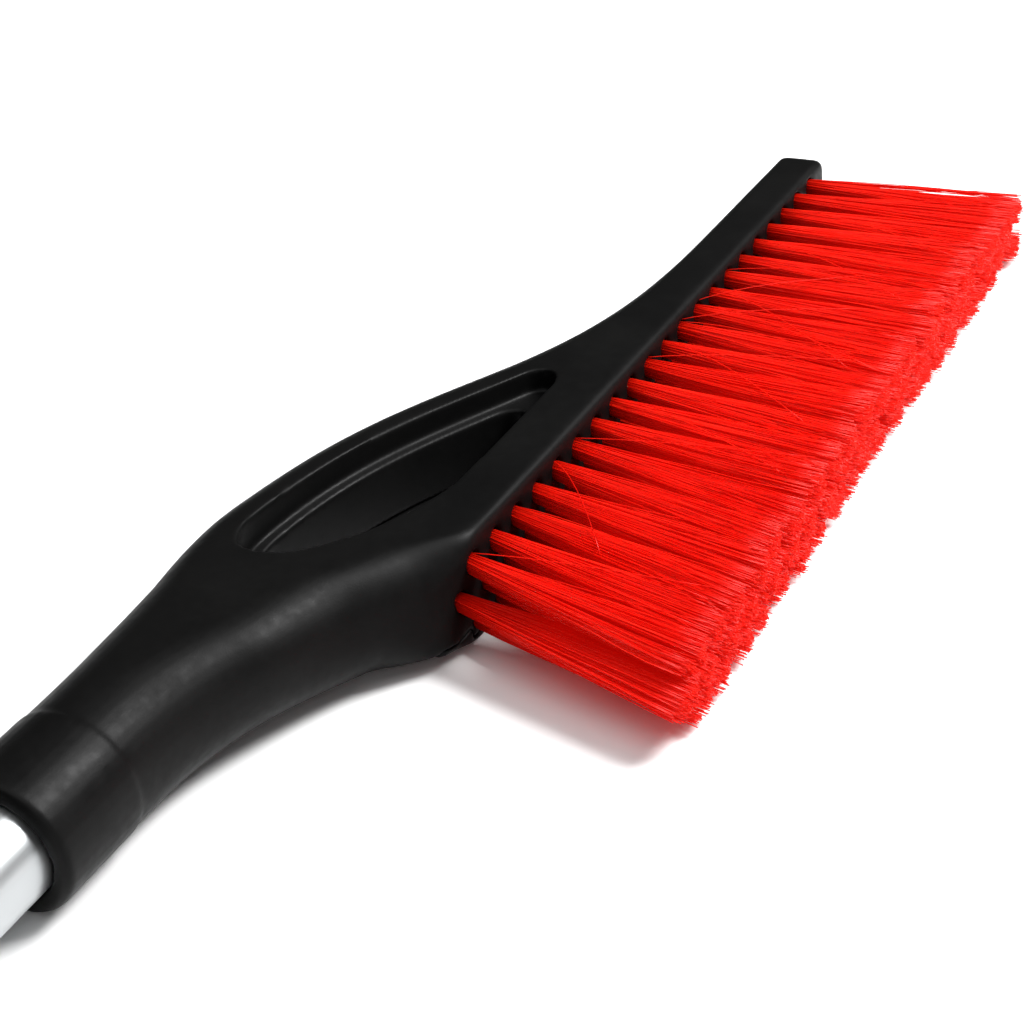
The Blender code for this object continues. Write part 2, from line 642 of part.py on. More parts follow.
def make_screw(name, place, bite):
    """A pan-head screw driven upwards, with a cross recess; place is the face of its head."""
    tip = SCREW_HEAD_HEIGHT + bite
    profile = [
        (0.0, tip),
        (SCREW_RADIUS, tip - SCREW_RADIUS),
        (SCREW_RADIUS, SCREW_HEAD_HEIGHT),
        (SCREW_HEAD_RADIUS, SCREW_HEAD_HEIGHT),
        (SCREW_HEAD_RADIUS, SCREW_HEAD_EDGE * SCREW_HEAD_HEIGHT),
        (SCREW_HEAD_FACE * SCREW_HEAD_RADIUS, 0.0),
        (0.0, 0.0),
    ]
    obj = turned(name, profile, STEEL, steps=SCREW_SIDES)
    half, arm = RECESS_WIDTH / 2, RECESS_ARM
    items = [obj]
    for slot, (size_x, size_y, depth) in (("long", (arm, half, RECESS_DEPTH)),
                                          ("cross", (half, arm, RECESS_DEPTH + RECESS_STEP))):
        slot_name = f"{name}_{slot}_slot"
        mesh = box_mesh(slot_name, (-size_x, -size_y, -CUT), (size_x, size_y, depth))
        items.append(mesh_object(slot_name, mesh))
        boolean(obj, items[-1])
    for item in items:
        item.location = place
    return obj


# ---------------------------------------------------------------- bristles

def tuft_ring(x, y, z, radius_x, radius_z):
    """A ring of points round a tuft that runs along Y."""
    angles = [2 * math.pi * side / TUFT_SIDES for side in range(TUFT_SIDES)]
    return [(x + radius_x * math.cos(angle), y, z + radius_z * math.sin(angle)) for angle in angles]


def make_bristles():
    """Every row in groups of three tufts that are separate at the roots and one at the tips."""
    root = BEAM_FRONT + TUFT_DEPTH - GAP
    merge = BEAM_FRONT - MERGE_LENGTH
    tips = BEAM_FRONT - BRISTLE_LENGTH
    merge_share = MERGE_LENGTH / BRISTLE_LENGTH

    def spread(x, share):
        return SPREAD_CENTRE + (x - SPREAD_CENTRE) * mix(1.0, TIP_SPREAD, share)

    for row, root_z, tip_z, shift in ROWS:
        merge_z = mix(root_z, tip_z, merge_share)
        for group in range(GROUPS_PER_ROW):
            name = f"tufts_{row}_{group + 1}"
            first = FIRST_TUFT + (group * TUFTS_PER_GROUP + shift) * TUFT_PITCH
            left = first - TUFT_PITCH / 2
            right = left + TUFTS_PER_GROUP * TUFT_PITCH
            rings = []
            for y, z, share in ((merge, merge_z, merge_share), (tips, tip_z, 1.0)):
                x0 = spread(left, share) + GAP / 2
                x1 = spread(right, share) - GAP / 2
                z0, z1 = z - TIP_THICKNESS / 2, z + TIP_THICKNESS / 2
                rings.append([(x0, y, z0), (x1, y, z0), (x1, y, z1), (x0, y, z1)])
            sheet = mesh_object(name, lofted_mesh(name, rings), RED_BRISTLE)
            for index in range(TUFTS_PER_GROUP):
                x = first + index * TUFT_PITCH
                inside = merge - STEM_OVERLAP
                share = (MERGE_LENGTH + STEM_OVERLAP) / BRISTLE_LENGTH
                wide = STEM_WIDTH * TUFT_PITCH
                stem = lofted_mesh(f"{name}_stem_{index}", [
                    tuft_ring(x, root, root_z, TUFT_RADIUS, TUFT_RADIUS),
                    tuft_ring(x, BEAM_FRONT, root_z, TUFT_RADIUS, TUFT_RADIUS),
                    tuft_ring(spread(x, share), inside, mix(root_z, tip_z, share), wide,
                              STEM_HEIGHT * TIP_THICKNESS),
                ])
                boolean(sheet, mesh_object(f"{name}_stem_{index}", stem), "UNION")
            shade(sheet)


# ---------------------------------------------------------------- handle

def lay_along_x(obj):
    """Turn an object made about Z so that it lies along X."""
    obj.rotation_euler = (0.0, math.radians(90), 0.0)


def make_tube():
    """Aluminium tube from inside the head to inside the scraper, with its two screw holes."""
    inner = TUBE_RADIUS - TUBE_WALL
    profile = [(TUBE_RADIUS, TUBE_END), (TUBE_RADIUS, TUBE_START), (inner, TUBE_START), (inner, TUBE_END)]
    tube = turned("handle_tube", profile, ALUMINIUM, closed=True)
    lay_along_x(tube)
    for name, x in (("head", COLLAR_LENGTH / 2), ("scraper", SCRAPER_START - SCRAPER_TUBE_DEPTH / 2)):
        hole = cylinder_cutter(f"tube_hole_{name}", SCREW_BORE, (x, 0, -TUBE_RADIUS - CUT), (x, 0, 0))
        boolean(tube, hole)


def make_tube_screws():
    """The screws that hold the tube in the head's sleeve and in the scraper's socket."""
    for name, x, radius in (
            ("tube_screw_head", COLLAR_LENGTH / 2, COLLAR_RADIUS),
            ("tube_screw_scraper", SCRAPER_START - SCRAPER_TUBE_DEPTH / 2, SOCKET_RADIUS)):
        make_screw(name, (x, 0.0, -radius + GAP), radius - TUBE_RADIUS + TUBE_SCREW_REACH)


def make_grip():
    """Foam grip: a round sleeve with soft ends and a few shallow grooves."""
    bore = TUBE_RADIUS + GAP
    top = -TUBE_EXPOSED
    low = GRIP_END
    corner = GRIP_RADIUS - GRIP_ROUNDING
    profile = [(bore, top)]
    profile += arc((corner, top - GRIP_ROUNDING), GRIP_ROUNDING, 90, 0, 4)
    for index in range(GROOVES):
        middle = mix(top, low, (index + 1) / (GROOVES + 1))
        profile += [(GRIP_RADIUS, middle + GROOVE_WIDTH / 2),
                    (GRIP_RADIUS - GROOVE_DEPTH, middle + GROOVE_FLOOR * GROOVE_WIDTH),
                    (GRIP_RADIUS - GROOVE_DEPTH, middle - GROOVE_FLOOR * GROOVE_WIDTH),
                    (GRIP_RADIUS, middle - GROOVE_WIDTH / 2)]
    profile += arc((corner, low + GRIP_ROUNDING), GRIP_ROUNDING, 0, -90, 4)
    profile += [(bore, low)]
    grip = turned("foam_grip", profile, FOAM, closed=True)
    lay_along_x(grip)


# ---------------------------------------------------------------- scraper

def scraper_ring(x):
    """Section of the scraper's holder: round on the tube, wide and flat at the blade."""
    share = smooth_step((FLARE_START - x) / (FLARE_WIDTH_SHARE * FLARE_LENGTH))
    half_width = mix(SOCKET_RADIUS, FLARE_WIDTH / 2, share)
    flatter = smooth_step((FLARE_START - x) / (FLARE_HEIGHT_SHARE * FLARE_LENGTH))
    half_height = mix(SOCKET_RADIUS, FLARE_THICKNESS / 2, flatter)
    inset = 0.0
    reach = FLARE_END + END_ROUNDING - x
    if reach > 0:
        inset = 0.5 * (END_ROUNDING - math.sqrt(max(END_ROUNDING ** 2 - reach ** 2, 0.0)))
    radius = min(half_width, half_height) - inset
    return rounded_ring(x, -half_width + inset, half_width - inset, -half_height + inset,
                        half_height - inset, (radius,) * 4)


def blade_outline():
    """Plan of the blade: narrower in the holder, splayed to the working edge."""
    root = FLARE_END + BLADE_INSERT
    neck = FLARE_END - BLADE_STRAIGHT
    edge = FLARE_END - BLADE_REACH
    half_root, half_edge = BLADE_ROOT_WIDTH / 2, BLADE_WIDTH / 2
    upper = [(root, half_root), (neck, half_root)]
    upper += bezier((edge + BLADE_CORNER, half_edge), (edge, half_edge), (edge, half_edge),
                    (edge, half_edge - BLADE_CORNER), 4)
    upper += [(edge, half_edge - BLADE_CORNER)]
    lower = [(x, -y) for x, y in reversed(upper)]
    return upper + lower


def make_blade():
    """Blade with a bevelled working edge and a row of ice-breaking teeth on its upper face."""
    half = BLADE_THICKNESS / 2
    edge = FLARE_END - BLADE_REACH
    blade = mesh_object("scraper_blade", prism("scraper_blade", blade_outline(), -half, half), RED_PLASTIC)
    side = BLADE_WIDTH
    drop = BLADE_THICKNESS - BLADE_EDGE
    slope = drop / BLADE_BEVEL
    wedge = lofted_mesh("blade_bevel", [
        [(edge + BLADE_BEVEL, y, half), (edge + BLADE_BEVEL, y, half + CUT), (edge - CUT, y, half + CUT),
         (edge - CUT, y, half - drop - slope * CUT)] for y in (-side, side)])
    for index in range(TOOTH_COUNT):
        y = mix(-0.5, 0.5, (index + 0.5) / TOOTH_COUNT) * (BLADE_ROOT_WIDTH - 2 * TOOTH_MARGIN)
        x = edge + BLADE_BEVEL + TOOTH_SETBACK
        tooth = [(x, y - 0.3 * TOOTH_SIZE), (x, y + 0.3 * TOOTH_SIZE), (x + 3 * TOOTH_SIZE, y)]
        name = f"blade_tooth_{index + 1}"
        boolean(blade, mesh_object(name, prism(name, tooth, half - MM, half + TOOTH_HEIGHT)), "UNION")
    boolean(blade, mesh_object("blade_bevel", wedge))
    return blade


def make_scraper():
    """Holder on the tube's end, blade in its slot, and the two blade screws from below."""
    rounding = [FLARE_END + END_ROUNDING * (1 - math.sin(math.radians(angle))) for angle in (0, 30, 60, 90)]
    flare = [mix(FLARE_START, rounding[0], index / FLARE_STATIONS) for index in range(FLARE_STATIONS)]
    rings = [scraper_ring(x) for x in [SCRAPER_START] + flare + rounding]
    holder = mesh_object("scraper_holder", lofted_mesh("scraper_holder", rings), BLACK_PLASTIC)
    bore_end = SCRAPER_START - SCRAPER_TUBE_DEPTH - GAP
    boolean(holder, cylinder_cutter("scraper_bore", TUBE_RADIUS + GAP, (bore_end, 0, 0),
                                    (SCRAPER_START + CUT, 0, 0), TURN_STEPS))
    half_slot = BLADE_THICKNESS / 2 + GAP
    slot_side = BLADE_ROOT_WIDTH / 2 + GAP
    slot = box_mesh("blade_slot", (FLARE_END - CUT, -slot_side, -half_slot),
                    (FLARE_END + BLADE_INSERT + GAP, slot_side, half_slot))
    boolean(holder, mesh_object("blade_slot", slot))
    blade = make_blade()
    cut_screw_hole(holder, "socket_screw", SCRAPER_START - SCRAPER_TUBE_DEPTH / 2, SOCKET_RADIUS)
    bottom = -FLARE_THICKNESS / 2
    x = FLARE_END + BLADE_INSERT / 2
    bite = FLARE_THICKNESS - BLADE_SCREW_WALL - SCREW_SEAT
    for side, y in (("left", BLADE_SCREW_SHARE * FLARE_WIDTH), ("right", -BLADE_SCREW_SHARE * FLARE_WIDTH)):
        name = f"blade_screw_{side}"
        top = bottom + SCREW_SEAT + bite + GAP
        boolean(blade, cylinder_cutter(name + "_through", SCREW_BORE, (x, y, bottom), (x, y, -bottom)))
        boolean(holder, cylinder_cutter(name + "_hole", SCREW_BORE, (x, y, bottom - CUT), (x, y, top)))
        boolean(holder, cylinder_cutter(name + "_seat", SCREW_HEAD_RADIUS + GAP, (x, y, bottom - CUT),
                                        (x, y, bottom + SCREW_SEAT)))
        make_screw(name, (x, y, bottom + GAP), bite)
    shade(holder)
    shade(blade)


# ---------------------------------------------------------------- assembly

def rest_on_origin():
    """Put the origin under the middle of the tool, on the surface that it lies on."""
    graph = bpy.context.evaluated_depsgraph_get()
    corners = []
    for obj in PARTS.objects:
        if obj.type == "MESH":
            evaluated = obj.evaluated_get(graph)
            corners += [evaluated.matrix_world @ vert.co for vert in evaluated.data.vertices]
    low = [min(corner[axis] for corner in corners) for axis in range(3)]
    high = [max(corner[axis] for corner in corners) for axis in range(3)]
    FRAME.location = (-(low[0] + high[0]) / 2, -(low[1] + high[1]) / 2, -low[2])


clear_scene()
PARTS = new_collection("snow_brush_scraper")
CUTTERS = new_collection("cutters")
FRAME = bpy.data.objects.new("snow_brush_frame", None)
PARTS.objects.link(FRAME)

BLACK_PLASTIC = new_material("black_plastic", (0.012, 0.012, 0.012), 0.42)
RED_BRISTLE = new_material("red_bristle", (0.80, 0.012, 0.004), 0.45)
RED_PLASTIC = new_material("red_plastic", (0.62, 0.010, 0.006), 0.25)
ALUMINIUM = new_material("aluminium", (0.78, 0.79, 0.80), 0.32, 1.0)
FOAM = new_material("foam", (0.016, 0.016, 0.017), 0.85)
STEEL = new_material("zinc_steel", (0.60, 0.60, 0.58), 0.35, 1.0)

make_head()
make_bristles()
make_tube()
make_tube_screws()
make_grip()
make_scraper()
bpy.context.view_layer.update()
rest_on_origin()
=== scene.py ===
"""Looks of the snow brush with an ice scraper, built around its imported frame.

Shapes are made in the handle's own axes: X = 0 is the mouth of the head's sleeve, +X runs along the
brush, the bristles point to -Y, +Z is up and the tube's axis is y = z = 0.
"""

import math

import bmesh
import bpy
import numpy as np
from mathutils import Matrix, Vector


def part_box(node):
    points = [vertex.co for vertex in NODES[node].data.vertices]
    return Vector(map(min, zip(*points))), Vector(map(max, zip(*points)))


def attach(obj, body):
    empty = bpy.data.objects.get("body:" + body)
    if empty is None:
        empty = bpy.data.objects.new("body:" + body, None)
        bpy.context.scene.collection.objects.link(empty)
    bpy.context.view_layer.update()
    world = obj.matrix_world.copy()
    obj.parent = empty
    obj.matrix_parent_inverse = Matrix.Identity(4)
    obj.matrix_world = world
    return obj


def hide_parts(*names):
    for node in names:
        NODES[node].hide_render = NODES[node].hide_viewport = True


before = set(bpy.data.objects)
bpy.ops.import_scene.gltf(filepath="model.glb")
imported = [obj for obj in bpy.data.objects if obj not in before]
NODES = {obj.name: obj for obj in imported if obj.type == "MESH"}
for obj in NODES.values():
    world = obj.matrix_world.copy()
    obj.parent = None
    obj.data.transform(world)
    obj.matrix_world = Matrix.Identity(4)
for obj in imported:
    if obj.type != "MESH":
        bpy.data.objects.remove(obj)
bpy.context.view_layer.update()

MM = 0.001
SEED = 11

# ---------------------------------------- places read from the frame
HEAD_LOW, HEAD_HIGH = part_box("head_body")
COVER_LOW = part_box("head_cover")[0]
TUBE_LOW, TUBE_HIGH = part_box("handle_tube")
GRIP_LOW, GRIP_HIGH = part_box("foam_grip")
HOLDER_LOW, HOLDER_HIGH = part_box("scraper_holder")
BLADE_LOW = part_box("scraper_blade")[0]
ORIGIN = Vector((HEAD_LOW.x, (TUBE_LOW.y + TUBE_HIGH.y) / 2, (TUBE_LOW.z + TUBE_HIGH.z) / 2))

# ---------------------------------------- sizes of the head
GAP = 0.3 * MM                     # play between mating pieces
CUT = 5.0 * MM                     # how far a cutter runs past what it cuts
COLLAR_RADIUS = 15.0 * MM
COLLAR_LENGTH = 23.0 * MM
SLEEVE_RADIUS = 14.7 * MM
SLEEVE_LENGTH = 28.0 * MM
NECK_LENGTH = 78.0 * MM
BEAM_START = SLEEVE_LENGTH + NECK_LENGTH
HEAD_LENGTH = HEAD_HIGH.x - ORIGIN.x
BEAM_FRONT = HEAD_LOW.y - ORIGIN.y
BEAM_WIDTH = 13.0 * MM
BEAM_BACK = BEAM_FRONT + BEAM_WIDTH
BEAM_TOP_NEAR = 11.0 * MM
BEAM_TOP_FAR = 8.0 * MM
CROWN_EASE = 20.0 * MM
HEAD_BOTTOM = COVER_LOW.z - ORIGIN.z
NECK_BOTTOM = -12.0 * MM
NECK_RISE = 0.5                    # share of the neck over which its underside rises
NECK_PULLS = (0.35, 0.4)           # handles of the neck's front line, as shares of its run
NECK_STEEPNESS = 1.235             # slope where it meets the bristle face, against the mean slope
ARCH_BULGE = 17.9 * MM
ARCH_WIDTH = 10.3 * MM
ARCH_PEAK = 6.0 * MM
ARCH_SWELL = 32.0 * MM
ARCH_RUN = 18.0 * MM
ARCH_DROP = 12.0 * MM
ARCH_TAIL = 72.0 * MM
ARCH_FADE_START = 12.0 * MM
ARCH_FADE_LENGTH = 80.0 * MM
EDGE_RADIUS = 2.2 * MM
LOW_RADIUS = 4.6 * MM
LOW_EDGE_LENGTH = 17.0 * MM
LOW_EDGE_RUN = 11.0 * MM
CREST_RADIUS = 8.5 * MM
CREST_END = 7.0 * MM
CREST_FADE = 17.0 * MM
FACE_LEAN = 7.0 * MM
FACE_PAST = 2.1 * MM
CORNER_EASE = 1.0 * MM             # blend where the leaning side runs into the bristle face
LEAN_START = 30.0 * MM
LEAN_FADE = 26.0 * MM
ARCH_RADIUS = 7.5 * MM
MOUTH_ROUNDING = 1.6 * MM
END_ROUNDING = 3.0 * MM
SOCKET_DEPTH = 52.0 * MM
HOLE_START = 86.0 * MM
HOLE_END = 190.0 * MM
HOLE_BLEND = 42.0 * MM
HOLE_TIP = 10.0 * MM
HOLE_FIRST = 0.35                  # share of the blend where the hole's back line starts
HOLE_LAST = 0.9                    # share of the tip's length where the back line ends
TIP_PULLS = (0.54, 0.26, 0.6, 0.4) # handles of the small round end, as shares of its length
BLEND_PULLS = (0.1, 0.25, 0.2)     # handles of the big round end, as shares of the blend
BLEND_RISE = 1.6 * MM
HOLE_FRONT_WALL = 13.8 * MM        # beam between the bristle face and the hole
HOLE_FRONT = BEAM_FRONT + HOLE_FRONT_WALL
LEDGE_HEIGHT = 4.2 * MM
LEDGE_WIDTH = 2.6 * MM
COVER_HOLE_INSET = 3.3 * MM
COVER_START = COVER_LOW.x - ORIGIN.x
COVER_LIP = 0.8 * MM
SOLE_EASE = 14.0 * MM
COVER_THICK = 4.8 * MM
COVER_THIN = 2.0 * MM
BORE_WALL = 1.2 * MM               # head material before the first bristle hole
TUFT_PITCH = 10.2 * MM
TUFTS_PER_GROUP = 3
GROUPS_PER_ROW = 7
FIRST_MARGIN = 3.0 * MM            # beam's start to the first tuft of the top row
FIRST_TUFT = BEAM_START + FIRST_MARGIN
TUFTS_PER_ROW = TUFTS_PER_GROUP * GROUPS_PER_ROW
LAST_TUFT = FIRST_TUFT + (TUFTS_PER_ROW - 1) * TUFT_PITCH
TIP_SPREAD = 1.095                 # length of the row at the tips, against its length at the roots
UPRIGHT_SHARE = 0.64               # where along the rows the tufts stand square to the beam
SPREAD_CENTRE = FIRST_TUFT + UPRIGHT_SHARE * (LAST_TUFT - FIRST_TUFT)
TUFT_RADIUS = 2.1 * MM
TUFT_BORE = TUFT_RADIUS + GAP
THIN_START = FIRST_TUFT - TUFT_BORE - BORE_WALL
ROWS = (                           # name, height of the roots and of the tips, shift in pitches
    ("top", 4.1 * MM, 0.2 * MM, 0.0),
    ("middle", -2.7 * MM, -4.7 * MM, -0.5),
    ("bottom", -9.5 * MM, -9.9 * MM, 0.0),
)
BRISTLE_LENGTH = 56.5 * MM
SCREW_HEAD_RADIUS = 2.8 * MM
SCREW_HEAD_HEIGHT = 1.1 * MM
SCREW_BORE = 1.55 * MM
HEAD_SECTIONS = 190
STEP_SECTIONS = (0.6, 0.4)         # just before and after the cover's step, in gaps before its start
HEAD_VOXEL, HEAD_ROUNDS = 0.62 * MM, 5
COVER_VOXEL, COVER_ROUNDS = 0.5 * MM, 3


# ---------------------------------------- small helpers
LARGEST_CORNER = 0.97              # of what a section has room for


def smooth_step(value):
    """0 to 1 with level ends."""
    value = min(max(value, 0.0), 1.0)
    return value * value * (3.0 - 2.0 * value)


def mix(start, end, share):
    """The value at a share of the way."""
    return start + (end - start) * share


def bezier(p0, p1, p2, p3, steps):
    """Points of a cubic curve in the plane, without its last one."""
    points = []
    for index in range(steps):
        t = index / steps
        s = 1.0 - t
        weights = (s ** 3, 3 * s * s * t, 3 * s * t * t, t ** 3)
        points.append(tuple(
            sum(w * p[axis] for w, p in zip(weights, (p0, p1, p2, p3))) for axis in (0, 1)))
    return points


def line_height(points, x):
    """Y of a plan line at x."""
    if x <= points[0][0]:
        return points[0][1]
    for (x0, y0), (x1, y1) in zip(points, points[1:]):
        if x <= x1:
            return mix(y0, y1, (x - x0) / (x1 - x0))
    return points[-1][1]


def offset_line(points, distance):
    """A plan line moved square to itself, to the right of its direction."""
    moved = []
    for index, (x, y) in enumerate(points):
        before = points[max(index - 1, 0)]
        after = points[min(index + 1, len(points) - 1)]
        along = Vector((after[0] - before[0], after[1] - before[1])).normalized()
        moved.append((x + along.y * distance, y - along.x * distance))
    return moved


def new_object(name, data):
    """A new object in the scene."""
    obj = bpy.data.objects.new(name, data)
    bpy.context.scene.collection.objects.link(obj)
    return obj


def bm_mesh(name, bm):
    """A mesh with outward normals from bmesh data."""
    bmesh.ops.recalc_face_normals(bm, faces=bm.faces)
    mesh = bpy.data.meshes.new(name)
    bm.to_mesh(mesh)
    bm.free()
    return mesh


def lofted_mesh(name, rings):
    """A closed skin over rings that have the same number of points."""
    bm = bmesh.new()
    loops = [[bm.verts.new(point) for point in ring] for ring in rings]
    count = len(loops[0])
    for near, far in zip(loops, loops[1:]):
        for index in range(count):
            following = (index + 1) % count
            bm.faces.new((near[index], near[following], far[following], far[index]))
    bm.faces.new(loops[0])
    bm.faces.new(loops[-1])
    return bm_mesh(name, bm)


def rounded_ring(x, front, back, bottom, top, radii, steps=10):
    """A rounded rectangle across the X axis, with a radius for each corner."""
    corners = (
        (front, bottom, 1, 1, math.pi),
        (back, bottom, -1, 1, 1.5 * math.pi),
        (back, top, -1, -1, 0.0),
        (front, top, 1, -1, 0.5 * math.pi),
    )
    largest = LARGEST_CORNER * min(back - front, top - bottom) / 2
    ring = []
    for (y, z, side_y, side_z, start), radius in zip(corners, radii):
        radius = min(radius, largest)
        for step in range(steps + 1):
            angle = start + 0.5 * math.pi * step / steps
            ring.append((x, y + side_y * radius + radius * math.cos(angle),
                         z + side_z * radius + radius * math.sin(angle)))
    return ring


def prism(name, outline, bottom, top):
    """A flat outline given a thickness."""
    bm = bmesh.new()
    face = bm.faces.new([bm.verts.new((x, y, bottom)) for x, y in outline])
    made = bmesh.ops.extrude_face_region(bm, geom=[face])
    raised = [item for item in made["geom"] if isinstance(item, bmesh.types.BMVert)]
    bmesh.ops.translate(bm, verts=raised, vec=(0.0, 0.0, top - bottom))
    return bm_mesh(name, bm)


def box_mesh(name, low, high):
    """A box between two corners."""
    bm = bmesh.new()
    bmesh.ops.create_cube(bm, size=1.0)
    bmesh.ops.scale(bm, vec=Vector(high) - Vector(low), verts=bm.verts)
    bmesh.ops.translate(bm, vec=(Vector(high) + Vector(low)) / 2, verts=bm.verts)
    return bm_mesh(name, bm)


def cylinder_mesh(name, radius, start, end, segments=32):
    """A cylinder between two points."""
    start, end = Vector(start), Vector(end)
    axis = end - start
    bm = bmesh.new()
    place = Matrix.Translation((start + end) / 2) @ axis.to_track_quat("Z", "Y").to_matrix().to_4x4()
    bmesh.ops.create_cone(bm, cap_ends=True, segments=segments, radius1=radius, radius2=radius,
                          depth=axis.length, matrix=place)
    return bm_mesh(name, bm)


def cut(obj, meshes, operation="DIFFERENCE"):
    """Cut an object with meshes, one after another."""
    for mesh in meshes:
        cutter = new_object("cutter", mesh)
        modifier = obj.modifiers.new("cut", "BOOLEAN")
        modifier.operation = operation
        modifier.solver = "EXACT"
        modifier.object = cutter
        settle(obj)
        bpy.data.objects.remove(cutter)


def settle(obj):
    """Make an object's modifiers part of its mesh."""
    bpy.context.view_layer.update()
    evaluated = obj.evaluated_get(bpy.context.evaluated_depsgraph_get())
    mesh = bpy.data.meshes.new_from_object(evaluated)
    old = obj.data
    obj.modifiers.clear()
    obj.data = mesh
    bpy.data.meshes.remove(old)


def soften(obj, voxel, rounds):
    """Rework a mesh into even small faces and relax them, which rounds its edges as a moulding's."""
    remesh = obj.modifiers.new("even", "REMESH")
    remesh.mode = "VOXEL"
    remesh.voxel_size = voxel
    relax = obj.modifiers.new("relax", "SMOOTH")
    relax.factor = 0.5
    relax.iterations = rounds
    settle(obj)
    obj.data.shade_smooth()


def finish_piece(obj, material, nodes):
    obj.data.transform(Matrix.Translation(ORIGIN))
    obj.data.materials.clear()
    obj.data.materials.append(material)
    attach(obj, "root")
    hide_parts(*nodes)
    return obj


# ---------------------------------------- materials
MIDDLE = (0.3, 0.7)                # what a noise texture's values mostly fill
PLASTIC_GRAIN = 2600.0             # texture scales, per metre
PLASTIC_COARSE = 420.0
FOAM_CELLS = 1500.0
FOAM_PITS = 620.0


class Nodes:
    """Short way to write a node material."""

    def __init__(self, name):
        self.material = bpy.data.materials.new(name)
        self.material.use_nodes = True
        self.tree = self.material.node_tree
        self.shader = self.tree.nodes["Principled BSDF"]

    def add(self, kind, **values):
        """A new node with some of its properties set."""
        node = self.tree.nodes.new(kind)
        for key, value in values.items():
            setattr(node, key, value)
        return node

    def link(self, source, target):
        self.tree.links.new(source, target)

    def place(self, scale=(1.0, 1.0, 1.0)):
        """Object coordinates, stretched."""
        coordinates = self.add("ShaderNodeTexCoord")
        mapping = self.add("ShaderNodeMapping")
        mapping.inputs["Scale"].default_value = scale
        self.link(coordinates.outputs["Object"], mapping.inputs["Vector"])
        return mapping.outputs["Vector"]

    def noise(self, vector, scale, detail=2.0, roughness=0.5):
        node = self.add("ShaderNodeTexNoise")
        node.inputs["Scale"].default_value = scale
        node.inputs["Detail"].default_value = detail
        node.inputs["Roughness"].default_value = roughness
        self.link(vector, node.inputs["Vector"])
        return node.outputs["Fac"]

    def voronoi(self, vector, scale):
        node = self.add("ShaderNodeTexVoronoi")
        node.inputs["Scale"].default_value = scale
        self.link(vector, node.inputs["Vector"])
        return node.outputs["Distance"]

    def spread(self, value, low, high, new_low, new_high):
        """A value taken from one range to another."""
        node = self.add("ShaderNodeMapRange")
        ends = {"From Min": low, "From Max": high, "To Min": new_low, "To Max": new_high}
        for key, number in ends.items():
            node.inputs[key].default_value = number
        self.link(value, node.inputs["Value"])
        return node.outputs["Result"]

    def math(self, operation, first, second):
        node = self.add("ShaderNodeMath", operation=operation)
        for socket, value in zip(node.inputs, (first, second)):
            if isinstance(value, (int, float)):
                socket.default_value = value
            else:
                self.link(value, socket)
        return node.outputs["Value"]

    def blend(self, factor, first, second):
        """A mix of two colours; each is a tuple or a node's output."""
        node = self.add("ShaderNodeMix", data_type="RGBA")
        self.link(factor, node.inputs["Factor"])
        for socket, value in ((node.inputs[6], first), (node.inputs[7], second)):
            if isinstance(value, tuple):
                socket.default_value = (*value, 1.0)
            else:
                self.link(value, socket)
        return node.outputs[2]

    def bump(self, height, strength, distance):
        node = self.add("ShaderNodeBump")
        node.inputs["Strength"].default_value = strength
        node.inputs["Distance"].default_value = distance
        self.link(height, node.inputs["Height"])
        return node.outputs["Normal"]

    def attribute(self, name):
        node = self.add("ShaderNodeAttribute", attribute_name=name)
        return node.outputs["Fac"]

    def socket(self, name, value):
        """Set or link one of the shader's inputs."""
        if isinstance(value, (int, float, tuple)):
            self.shader.inputs[name].default_value = value
        else:
            self.link(value, self.shader.inputs[name])


def black_plastic():
    """Moulded polypropylene: spark-eroded grain, faint flow mottling and fine scratches."""
    n = Nodes("moulded_black")
    place = n.place()
    grain = n.noise(place, PLASTIC_GRAIN, 3.0, 0.6)
    coarse = n.noise(place, PLASTIC_COARSE, 2.0)
    mottle = n.noise(place, 38.0, 4.0, 0.6)
    scratch = n.noise(n.place((60.0, 900.0, 900.0)), 3.0, 2.0)
    lines = n.spread(scratch, 0.66, 0.74, 0.0, 1.0)
    n.socket("Base Color", n.blend(mottle, (0.0026, 0.0026, 0.0027), (0.0048, 0.0047, 0.0045)))
    rough = n.spread(mottle, *MIDDLE, 0.40, 0.54)
    rough = n.math("ADD", rough, n.spread(coarse, *MIDDLE, -0.04, 0.04))
    rough = n.math("SUBTRACT", rough, n.math("MULTIPLY", lines, 0.08))
    n.socket("Roughness", rough)
    n.socket("Specular IOR Level", 0.10)
    height = n.math("ADD", n.math("MULTIPLY", grain, 0.7), n.math("MULTIPLY", coarse, 0.5))
    n.socket("Normal", n.bump(height, 0.22, 0.00012))
    return n.material


def red_bristle():
    """Extruded filaments, each of its own shade; a little emission stands for light coming through."""
    n = Nodes("bristle_red")
    tone = n.attribute("tone")
    along = n.attribute("along")
    streak = n.noise(n.place((700.0, 60.0, 700.0)), 1.0, 2.0)
    shade = n.math("ADD", n.math("MULTIPLY", tone, 0.75), n.math("MULTIPLY", streak, 0.35))
    color = n.blend(shade, (0.66, 0.0030, 0.0004), (0.80, 0.008, 0.0010))
    # painted shade: the filaments are painted darker near their roots, where they leave the bores
    painted_root_shade = n.spread(along, 0.0, 0.16, 0.30, 0.0)
    n.socket("Base Color", n.blend(painted_root_shade, color, (0.55, 0.003, 0.001)))
    n.socket("Roughness", n.spread(tone, 0.0, 1.0, 0.34, 0.50))
    n.socket("Specular IOR Level", 0.22)
    n.socket("Subsurface Weight", 0.35)
    n.socket("Subsurface Radius", (1.0, 0.12, 0.05))
    n.socket("Subsurface Scale", 0.0012)
    n.socket("Emission Color", (0.90, 0.006, 0.001, 1.0))
    n.socket("Emission Strength", n.spread(along, 0.04, 0.40, 0.01, 0.14))
    n.socket("Normal", n.bump(streak, 0.12, 0.00005))
    return n.material


